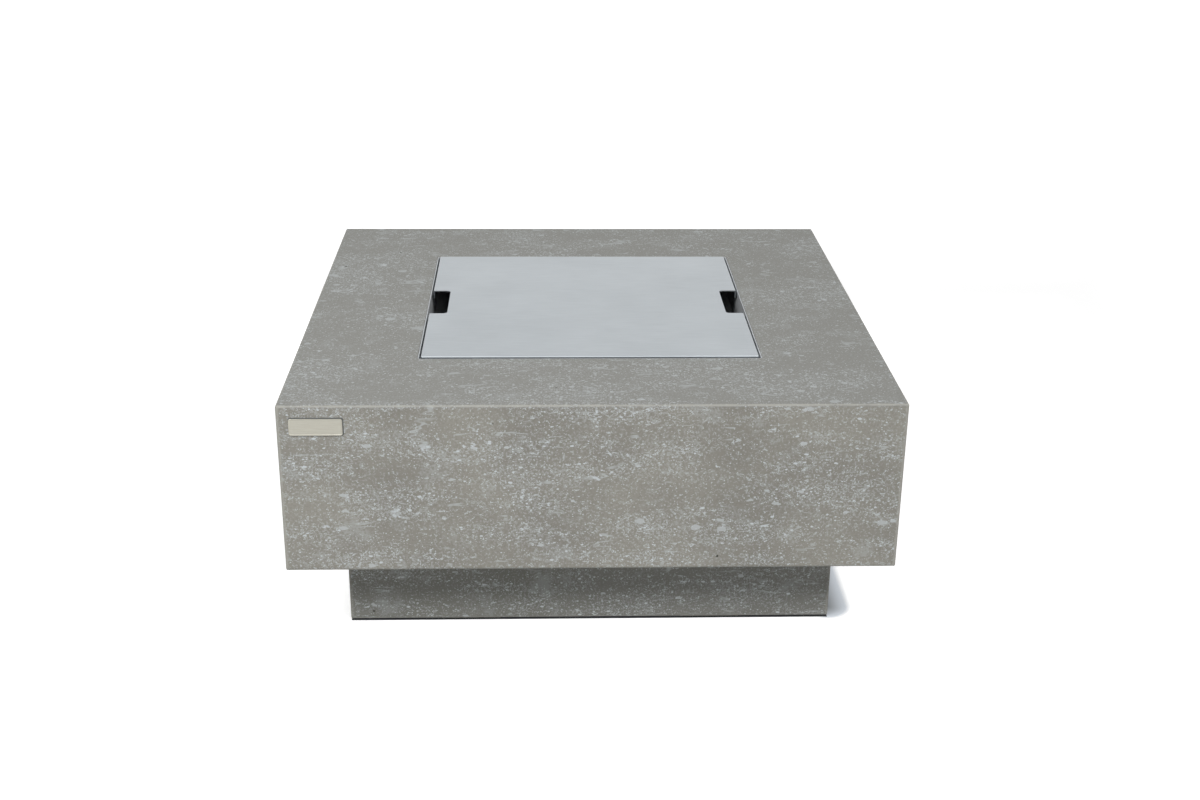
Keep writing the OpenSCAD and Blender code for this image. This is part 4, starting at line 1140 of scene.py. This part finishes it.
@dataclass
class FireBed:
    """The lid, the pan with its burner and sensors, and the rocks in it."""

    frame: dict[str, Any]
    cuts: int = 5
    softenings: int = 2
    # How far a rock is shifted at most, and how narrow it may get along and across its turn.
    looseness: float = 3.5 * MM
    narrowest: tuple[float, float] = (0.74, 0.86)
    # Lumps and bubbles of the rocks: how far apart they are and how deep they go.
    lump: float = 17.0 * MM
    roughen: float = 4.0 * MM
    bubble: float = 7.0 * MM
    bubble_reach: float = 0.42
    bubble_depth: float = 2.0 * MM
    # Chips: their radius, the share of it in the first throw and its fall to the last, how flat and how broken they
    # are, how close they lie, and how far past the rocks.
    chip: float = 10.0 * MM
    chip_first: float = 1.15
    chip_fall: float = 0.75
    chip_flat: float = 0.8
    chip_lump: float = 7.0 * MM
    chip_bite: float = 2.6 * MM
    crowding: float = 0.92
    spill: float = 24.0 * MM
    throws: int = 5000
    seed: int = 11
    sharp_deg: float = 80.0

    def build(self) -> None:
        """Dresses the steel and makes the rocks."""
        dress(self.frame, LID_STEEL, ["lid"])
        dress(self.frame, PAN_STEEL, ["fire_pan", "lid_rests", "sensor_bracket"])
        dress(self.frame, BURNER_STEEL, ["burner", "electrode_tip"])
        dress(self.frame, ZINC, ["pan_straps", "strap_bolts", "sensor_rivets", "burner_nipple", "burner_lock_nut"])
        dress(self.frame, PORCELAIN, ["electrode_insulator"])
        dress(self.frame, COPPER, ["flame_sensor"])
        self._rocks()

    def _rocks(self) -> None:
        """Breaks up the plain rocks: loosens them, rounds them, roughens them and strews chips between them."""
        bm = bmesh.new()
        bm.from_mesh(self.frame["nodes"]["lava_rocks"].data)
        bmesh.ops.remove_doubles(bm, verts=bm.verts, dist=0.01 * MM)
        floor = min(v.co.z for v in bm.verts)
        self._loosen(bm)
        bmesh.ops.subdivide_edges(bm, edges=bm.edges, cuts=self.cuts, use_grid_fill=True, smooth=0.35)
        for _ in range(self.softenings):
            bmesh.ops.smooth_vert(
                bm, verts=bm.verts, factor=0.5, use_axis_x=True, use_axis_y=True, use_axis_z=True
            )
        self._roughen(bm, floor)
        chips = self._chips(bm, floor)
        rocks = put_piece("lava_rock_fill", bm, "base", LAVA, sharp=self.sharp_deg)
        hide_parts("lava_rocks")
        put_piece("lava_chips", chips, "base", LAVA, sharp=self.sharp_deg)

    def _loosen(self, bm: bmesh.types.BMesh) -> None:
        """Turns, squeezes and shifts each rock a little, so that no two sit alike.

        Args:
            bm: The plain rocks, none of them joined to another.
        """
        dice = random.Random(self.seed)
        seen: set[int] = set()
        bm.verts.ensure_lookup_table()
        bm.verts.index_update()
        for first in bm.verts:
            if first.index in seen:
                continue
            seen.add(first.index)
            rock = [first]
            for vert in rock:
                for edge in vert.link_edges:
                    other = edge.other_vert(vert)
                    if other.index not in seen:
                        seen.add(other.index)
                        rock.append(other)
            middle = sum((v.co for v in rock), Vector()) / len(rock)
            turn = Matrix.Rotation(dice.uniform(0.0, math.tau), 3, "Z")
            squeeze = Matrix.Diagonal((*(dice.uniform(least, 1.0) for least in self.narrowest), 1.0))
            shift = Vector((dice.uniform(-1, 1), dice.uniform(-1, 1), 0.0)) * self.looseness
            for vert in rock:
                vert.co = middle + turn @ squeeze @ turn.transposed() @ (vert.co - middle) + shift

    def _roughen(self, bm: bmesh.types.BMesh, floor: float) -> None:
        """Makes rock lumpy and sinks bubbles in it, no lower than the floor.

        Args:
            bm: The rocks.
            floor: The height of the pan's floor.
        """
        bm.normal_update()
        for vert in bm.verts:
            lump = noise.fractal(vert.co / self.lump, 1.0, 2.1, 4)
            near = noise.voronoi(vert.co / self.bubble)[0][0]
            hole = max(0.0, self.bubble_reach - near) / self.bubble_reach
            vert.co += vert.normal * (self.roughen * (0.5 * lump - 0.1) - self.bubble_depth * hole)
            vert.co.z = max(vert.co.z, floor)
        bmesh.ops.triangulate(bm, faces=bm.faces)

    def _chips(self, rocks: bmesh.types.BMesh, floor: float) -> bmesh.types.BMesh:
        """Strews chips on the floor where neither a rock nor the burner is in the way, the large ones first.

        Args:
            rocks: The finished rocks.
            floor: The height of the pan's floor.

        Returns:
            The chips in one bmesh.
        """
        dice = random.Random(self.seed + 1)
        fixed = rocks.copy()
        for name in ("burner", "sensor_bracket", "sensor_rivets", "electrode_insulator", "flame_sensor", "lid_rests"):
            fixed.from_mesh(self.frame["nodes"][name].data)
        solid = BVHTree.FromBMesh(fixed)
        fixed.free()
        reach = max(v.co.x for v in rocks.verts) + self.spill
        laid: list[tuple[Vector, float]] = []
        chips = bmesh.new()
        for number in range(self.throws):
            size = self.chip * (self.chip_first - self.chip_fall * number / self.throws) * dice.uniform(0.85, 1.0)
            spot = Vector((dice.uniform(-reach, reach), dice.uniform(-reach, reach), floor + self.chip_flat * size))
            if solid.find_nearest(spot, size)[0] is not None:
                continue
            if any((spot - other).length < self.crowding * (size + wide) for other, wide in laid):
                continue
            laid.append((spot, size))
            shape = Matrix.Diagonal((size, size * dice.uniform(0.7, 1.0), size * self.chip_flat))
            turned = Matrix.Rotation(dice.uniform(0.0, math.tau), 3, "Z") @ shape
            place = Matrix.Translation(spot) @ turned.to_4x4()
            bmesh.ops.create_icosphere(chips, subdivisions=2, radius=1.0, matrix=place)
        chips.normal_update()
        for vert in chips.verts:
            lump = noise.fractal(vert.co / self.chip_lump, 1.0, 2.1, 3)
            vert.co += vert.normal * min(0.0, self.chip_bite * (lump - 0.55))
            vert.co.z = max(vert.co.z, floor)
        log.info("%d chips", len(laid))
        return chips


class Stiffness(Enum):
    """How far a tube gives way to its own weight."""

    MEDIUM = "medium"
    STIFF = "stiff"


@dataclass
class Hose:
    """A bendy tube held by a fitting at each end, along the same curve as the solid one."""

    name: str
    node: str
    slot: str
    finish: Finish
    handles_mm: tuple[Triple, ...]
    diameter: float
    stiffness: Stiffness
    step: float
    valley: float = 1.0
    samples: int = 200
    fewest_steps: int = 8

    def build(self) -> None:
        """Sweeps the tube, every other ring drawn in where it is ribbed."""
        line = interpolate_bezier(*(Vector(handle) * MM for handle in self.handles_mm), self.samples)
        points = self._even(line)
        data = bpy.data.curves.new(self.name, "CURVE")
        data.dimensions = "3D"
        data.bevel_depth = self.diameter / 2
        data.bevel_resolution = 4
        data.use_fill_caps = True
        spline = data.splines.new("POLY")
        spline.points.add(len(points) - 1)
        spline.use_smooth = True
        for number, (ring, point) in enumerate(zip(spline.points, points)):
            ring.co = (*point, 1.0)
            ring.radius = self.valley if number % 2 else 1.0
        tube = bpy.data.objects.new(self.name, data)
        bpy.context.scene.collection.objects.link(tube)
        data.materials.append(self.finish.material())
        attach(tube, "base")
        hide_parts(self.node)

    def _even(self, line: Sequence[Vector]) -> list[Vector]:
        """Divides a line into equal steps.

        Args:
            line: Points along the line.

        Returns:
            Points at the steps, both ends of the line among them.
        """
        runs = [(b - a).length for a, b in zip(line, line[1:])]
        count = max(self.fewest_steps, round(sum(runs) / self.step))
        stride = sum(runs) / count
        points = [line[0].copy()]
        walked = 0.0
        for start, end, run in zip(line, line[1:], runs):
            while len(points) < count and walked + run >= len(points) * stride:
                points.append(start.lerp(end, (len(points) * stride - walked) / run))
            walked += run
        return [*points, line[-1].copy()]


@dataclass
class GasLine:
    """The fittings, hoses and leads under the pan, and the brackets that join the castings."""

    frame: dict[str, Any]
    hoses: tuple[Hose, ...] = (
        Hose(
            "ribbed_burner_hose",
            "burner_hose",
            "hose_steel",
            HOSE_STEEL,
            ((29, 0, 243), (179, 0, 243), (218, -34, 262), (368, -34, 262)),
            diameter=0.013,
            stiffness=Stiffness.STIFF,
            step=0.0019,
            valley=0.86,
        ),
        Hose(
            "rubber_supply_hose",
            "supply_hose",
            "rubber",
            RUBBER,
            ((180, 326, 66), (180, 131, 66), (218, -34, 235), (368, -34, 235)),
            diameter=0.013,
            stiffness=Stiffness.MEDIUM,
            step=0.008,
        ),
        Hose(
            "sleeved_ignition_lead",
            "ignition_lead",
            "lead_sleeve",
            SILICONE,
            ((121.5, 14, 326), (121.5, 14, 236), (288.8, 42, 262), (378.8, 42, 262)),
            diameter=0.004,
            stiffness=Stiffness.MEDIUM,
            step=0.005,
        ),
        Hose(
            "copper_sensor_lead",
            "sensor_lead",
            "copper",
            COPPER,
            ((121.5, -14, 326), (121.5, -14, 236), (278, -34, 286), (368, -34, 286)),
            diameter=0.004,
            stiffness=Stiffness.STIFF,
            step=0.005,
        ),
    )

    def build(self) -> None:
        """Sweeps the hoses and leads and dresses the fittings."""
        for hose in self.hoses:
            hose.build()
        dress(
            self.frame,
            BRASS,
            ["orifice_elbow", "hose_nuts", "inlet_fitting", "inlet_lock_nut", "gas_valve", "valve_plug"],
        )
        dress(self.frame, ZINC, ["air_mixer", "angle_brackets", "bracket_bolts"])


@dataclass
class GasControl:
    """The plate in the side niche with its knob and igniter."""

    frame: dict[str, Any]
    rounds: int = 192
    # Flutes of the grip: how many and how deep, where along the axis they run out, and how far out they start.
    flutes: int = 16
    flute: float = 1.3 * MM
    flute_from_mm: float = 5.6
    flute_ramp_mm: float = 2.0
    flute_out: float = 13.8 * MM
    # The pointer's size, the rounding of its edges, and its middle from the middle of the knob's face.
    pointer_mm: Triple = (0.9, 1.9, 11.0)
    pointer_edge: float = 0.25 * MM
    pointer_at_mm: Triple = (-0.35, 0.0, 8.2)
    # Half outline of the knob from the bottom of its hollow to the middle of its face: along the axis, out from it.
    outline_mm: tuple[tuple[float, float], ...] = (
        (17.0, 0.0),
        (17.0, 13.5),
        (0.5, 13.5),
        (0.0, 14.0),
        (0.0, 21.2),
        (0.3, 21.8),
        (0.9, 22.0),
        (3.4, 22.0),
        (4.2, 21.7),
        (4.7, 20.9),
        (5.0, 19.4),
        (5.6, 18.4),
        (6.8, 18.0),
        (12.0, 17.6),
        (17.6, 17.2),
        (18.9, 16.7),
        (19.7, 15.6),
        (20.0, 14.0),
        (19.8, 10.0),
        (19.6, 5.0),
        (19.5, 0.0),
    )

    def build(self) -> None:
        """Dresses the plate and the igniter and makes the knob."""
        dress(self.frame, PANEL_STEEL, ["control_panel", "knob_bezel"])
        dress(self.frame, ZINC, ["panel_screws", "valve_nut", "valve_stem"])
        dress(self.frame, PLASTIC, ["igniter_body", "igniter_nut", "igniter_button"])
        dress(self.frame, JACKET, ["igniter_battery"])
        low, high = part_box("control_knob")
        back = Vector((low.x, (low.y + high.y) / 2, (low.z + high.z) / 2))
        self._knob(back)
        self._pointer(back + Vector((high.x - low.x, 0, 0)))

    def _knob(self, back: Vector) -> None:
        """Turns the knob from its outline and presses the flutes into its grip.

        Args:
            back: Middle of the knob's open back.
        """
        bm = bmesh.new()
        rim = [bm.verts.new(back + Vector((along, 0, out)) * MM) for along, out in self.outline_mm]
        edges = [bm.edges.new(pair) for pair in zip(rim, rim[1:])]
        bmesh.ops.spin(
            bm,
            geom=rim + edges,
            cent=back,
            axis=(1, 0, 0),
            angle=math.tau,
            steps=self.rounds,
            use_merge=True,
        )
        bmesh.ops.remove_doubles(bm, verts=bm.verts, dist=0.005 * MM)
        for vert in bm.verts:
            spoke = vert.co - back
            along, spoke.x = spoke.x, 0.0
            grip = min(1.0, max(0.0, (along / MM - self.flute_from_mm) / self.flute_ramp_mm))
            if grip > 0.0 and spoke.length > self.flute_out:
                turn = math.atan2(spoke.z, spoke.y)
                press = self.flute * grip * max(0.0, math.cos(self.flutes * turn)) ** 1.5
                vert.co -= spoke.normalized() * press
        bmesh.ops.recalc_face_normals(bm, faces=bm.faces)
        knob = put_piece("fluted_knob", bm, "knob", PLASTIC, sharp=50.0)
        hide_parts("control_knob")

    def _pointer(self, face: Vector) -> None:
        """Lays the white pointer in the knob's face.

        Args:
            face: Middle of the knob's face, at its highest.
        """
        bm = bmesh.new()
        bmesh.ops.create_cube(bm, size=1.0)
        bmesh.ops.scale(bm, vec=Vector(self.pointer_mm) * MM, verts=bm.verts)
        bmesh.ops.bevel(
            bm, geom=bm.edges, offset=self.pointer_edge, affect="EDGES", segments=2, profile=0.5, material=-1
        )
        bmesh.ops.translate(bm, vec=face + Vector(self.pointer_at_mm) * MM, verts=bm.verts)
        put_piece("knob_pointer", bm, "knob", PAINT)


@dataclass(frozen=True)
class Lamp:
    """A soft round lamp turned to the table.

    It has a name, its bearing from the front, its height, its width as seen from the table, the light that it gives
    there, whether metal mirrors it and its distance in metres.
    """

    name: str
    bearing_deg: float
    height_deg: float
    spread_deg: float
    strength: float
    mirrored: bool = True
    away: float = 30.0

    def hang(self) -> None:
        """Puts the lamp in the scene."""
        light = bpy.data.lights.new(self.name, "AREA")
        light.shape = "DISK"
        light.size = 2.0 * self.away * math.tan(math.radians(self.spread_deg / 2.0))
        light.energy = self.strength * math.pi * self.away**2
        lamp = bpy.data.objects.new(self.name, light)
        turn = Euler((math.radians(90.0 - self.height_deg), 0.0, math.radians(self.bearing_deg)))
        lamp.rotation_euler = turn
        lamp.location = turn.to_matrix() @ Vector((0.0, 0.0, self.away))
        lamp.visible_glossy = self.mirrored
        bpy.context.scene.collection.objects.link(lamp)


@dataclass
class Studio:
    """White floor with shade painted under the plinth and beside its right side, two soft keys at the front, a fill at
    the back, plain sky and the camera.
    """

    foot: float
    eye: Triple = (-0.0735, -2.6049, 1.2806)
    turn_deg: Triple = (67.874, -0.589, -1.94)
    lens_mm: float = 48.13
    sensor_mm: float = 36.0
    sight: float = 200.0
    lamps: tuple[Lamp, ...] = (
        Lamp("key_left", -42.0, 45.0, 20.0, 1.61, away=6.0),
        Lamp("key_right", 42.0, 45.0, 20.0, 1.48),
        Lamp("fill_back", 170.0, 20.0, 40.0, 0.7, mirrored=False),
    )
    sky: float = 0.2
    floor_half: float = 40.0
    floor_bounce: float = 0.6
    # The floor's glow to the camera: at the table, round it and far off, and how far out it changes.
    glow_near: float = 0.55
    glow_far: float = 0.2
    glow_back: float = 0.6
    near_ring: tuple[float, float] = (0.8, 1.3)
    back_ring: tuple[float, float] = (1.2, 2.6)
    # The shadow painted on the floor beside the plinth's right side: its colours from the plinth outwards, its reach,
    # edge and round ends.
    shade_dark: str = "#6c6e6f"
    shade_light: str = "#b8bdc3"
    shade_reach: float = 0.032
    shade_edge: float = 0.015
    shade_round: float = 0.035
    shade_start: float = 0.02
    # Dark grey painted as shade on the floor under the table, and how soon it is full there.
    under: str = "#3a3b3d"
    under_edge: float = 1.0 * MM

    def build(self) -> None:
        """Makes the floor, the lights and the camera."""
        self._floor()
        self._sky()
        for lamp in self.lamps:
            lamp.hang()
        self._camera()
        bpy.context.scene.view_settings.view_transform = "Standard"

    def _seen(self, tree: Tree) -> Socket:
        """Tells rays from the camera, and those that metal or glass send on, from the rest.

        Args:
            tree: The node tree of the floor or the sky.

        Returns:
            1 for such a ray and 0 for any other.
        """
        path = add_node(tree, "ShaderNodeLightPath")
        seen = path.outputs["Is Camera Ray"]
        for ray in ("Is Glossy Ray", "Is Transmission Ray"):
            seen = add_node(tree, "ShaderNodeMath", {}, {0: seen, 1: path.outputs[ray]}, operation="MAXIMUM").outputs[0]
        return seen

    def _tint(self, tree: Tree, axes: bpy.types.Node, out: Socket) -> Socket:
        """Paints shade on the floor: white, dark grey painted as shade under the table and a cool grey painted shadow
        beside the plinth's right side.

        Args:
            tree: The floor's node tree.
            axes: The separated Object coordinates.
            out: How far a point lies from the middle, along X or Y.

        Returns:
            A colour.
        """
        along = add_node(tree, "ShaderNodeMath", {}, {0: axes.outputs["Y"]}, operation="ABSOLUTE").outputs[0]
        ahead = add_node(
            tree, "ShaderNodeMath", {1: self.foot - self.shade_round}, {0: along}, operation="SUBTRACT"
        ).outputs[0]
        turned = add_node(tree, "ShaderNodeMath", {1: 0.0}, {0: ahead}, operation="MAXIMUM").outputs[0]
        beside = add_node(
            tree, "ShaderNodeMath", {1: self.foot}, {0: axes.outputs["X"]}, operation="SUBTRACT"
        ).outputs[0]
        way = add_node(tree, "ShaderNodeCombineXYZ", links={"X": beside, "Y": turned}).outputs[0]
        off = add_node(tree, "ShaderNodeVectorMath", {}, {0: way}, operation="LENGTH").outputs["Value"]
        deep = add_node(tree, "ShaderNodeMapRange", {"From Max": self.shade_reach}, {"Value": off}).outputs[0]
        beyond = add_node(
            tree,
            "ShaderNodeMapRange",
            {"From Min": self.shade_reach, "From Max": self.shade_reach + self.shade_edge},
            {"Value": off},
            interpolation_type="SMOOTHSTEP",
        ).outputs[0]
        before = add_node(
            tree,
            "ShaderNodeMapRange",
            {"From Min": 0.0, "From Max": -self.shade_start},
            {"Value": beside},
            interpolation_type="SMOOTHSTEP",
        ).outputs[0]
        clear = add_node(tree, "ShaderNodeMath", {}, {0: beyond, 1: before}, operation="MAXIMUM").outputs[0]
        # Painted shade under the table: full inside the plinth's footprint.
        inside = add_node(
            tree,
            "ShaderNodeMapRange",
            {"From Min": self.foot, "From Max": self.foot - self.under_edge},
            {"Value": out},
        ).outputs[0]
        # Painted shadow beside the plinth's right side: dark grey at the plinth, lighter grey at its reach, then white.
        tint = add_node(
            tree,
            "ShaderNodeMix",
            {6: linear(self.shade_dark), 7: linear(self.shade_light)},
            {0: deep},
            data_type="RGBA",
        ).outputs[2]
        for cover, colour in ((clear, WHITE), (inside, self.under)):
            tint = add_node(
                tree, "ShaderNodeMix", {7: linear(colour)}, {0: cover, 6: tint}, data_type="RGBA"
            ).outputs[2]
        return tint

    def _glow(self, tree: Tree, out: Socket) -> Socket:
        """Makes the glow that keeps the floor white where the lamps don't.

        Args:
            tree: The floor's node tree.
            out: How far a point lies from the middle, along X or Y.

        Returns:
            The strength of the glow.
        """
        rings = [
            add_node(
                tree,
                "ShaderNodeMapRange",
                {"From Min": ring[0], "From Max": ring[1], "To Min": start, "To Max": end},
                {"Value": out},
                interpolation_type="SMOOTHSTEP",
            ).outputs[0]
            for ring, start, end in (
                (self.near_ring, self.glow_near, self.glow_far),
                (self.back_ring, 0.0, self.glow_back),
            )
        ]
        return add_node(tree, "ShaderNodeMath", {}, {0: rings[0], 1: rings[1]}, operation="ADD").outputs[0]

    def _floor(self) -> None:
        """Lays a floor that is white where the keys reach it, keeps the shadow, and carries the shade painted under and
        beside the plinth.
        """
        bm = bmesh.new()
        bmesh.ops.create_grid(bm, x_segments=1, y_segments=1, size=self.floor_half)
        mesh = bpy.data.meshes.new("studio_floor")
        bm.to_mesh(mesh)
        bm.free()
        floor = bpy.data.objects.new("studio_floor", mesh)
        bpy.context.scene.collection.objects.link(floor)
        material = bpy.data.materials.new("White studio floor")
        material.use_nodes = True
        tree = material.node_tree
        tree.nodes.clear()
        seen = self._seen(tree)
        place = add_node(tree, "ShaderNodeTexCoord").outputs["Object"]
        axes = add_node(tree, "ShaderNodeSeparateXYZ", links={0: place})
        away = [
            add_node(tree, "ShaderNodeMath", {}, {0: axes.outputs[axis]}, operation="ABSOLUTE").outputs[0]
            for axis in ("X", "Y")
        ]
        out = add_node(tree, "ShaderNodeMath", {}, {0: away[0], 1: away[1]}, operation="MAXIMUM").outputs[0]
        tint = self._tint(tree, axes, out)
        bounce = (self.floor_bounce, self.floor_bounce, self.floor_bounce, 1.0)
        paper = add_node(
            tree, "ShaderNodeMix", {6: bounce}, {0: seen, 7: tint}, data_type="RGBA"
        ).outputs[2]
        lit = add_node(tree, "ShaderNodeBsdfDiffuse", links={"Color": paper}).outputs[0]
        strength = add_node(
            tree, "ShaderNodeMath", {}, {0: seen, 1: self._glow(tree, out)}, operation="MULTIPLY"
        ).outputs[0]
        glow = add_node(tree, "ShaderNodeEmission", links={"Color": tint, "Strength": strength}).outputs[0]
        both = add_node(tree, "ShaderNodeAddShader", links={0: lit, 1: glow}).outputs[0]
        add_node(tree, "ShaderNodeOutputMaterial", links={"Surface": both})
        mesh.materials.append(material)

    def _sky(self) -> None:
        """Makes a plain soft sky that looks white to the camera and to metal."""
        world = bpy.data.worlds.new("Studio sky")
        bpy.context.scene.world = world
        world.use_nodes = True
        tree = world.node_tree
        tree.nodes.clear()
        soft, bright = (
            add_node(tree, "ShaderNodeBackground", {"Strength": strength, "Color": linear(WHITE)}).outputs[0]
            for strength in (self.sky, 1.0)
        )
        mixed = add_node(tree, "ShaderNodeMixShader", links={0: self._seen(tree), 1: soft, 2: bright}).outputs[0]
        add_node(tree, "ShaderNodeOutputWorld", links={"Surface": mixed})

    def _camera(self) -> None:
        """Sets the camera where the photograph was taken from."""
        data = bpy.data.cameras.new("camera")
        data.lens = self.lens_mm
        data.sensor_width = self.sensor_mm
        data.clip_end = self.sight
        camera = bpy.data.objects.new("camera", data)
        camera.location = self.eye
        camera.rotation_euler = tuple(math.radians(a) for a in self.turn_deg)
        bpy.context.scene.collection.objects.link(camera)
        bpy.context.scene.camera = camera


def main() -> None:
    """Builds the studio and dresses the table, piece by piece."""
    logging.basicConfig(level=logging.INFO, format="%(name)s: %(message)s")
    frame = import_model()
    Studio(foot=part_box("plinth")[1].x).build()
    for part in (Casting(frame), BadgePlate(), FireBed(frame), GasLine(frame), GasControl(frame)):
        part.build()


if __name__ == "__main__":
    main()
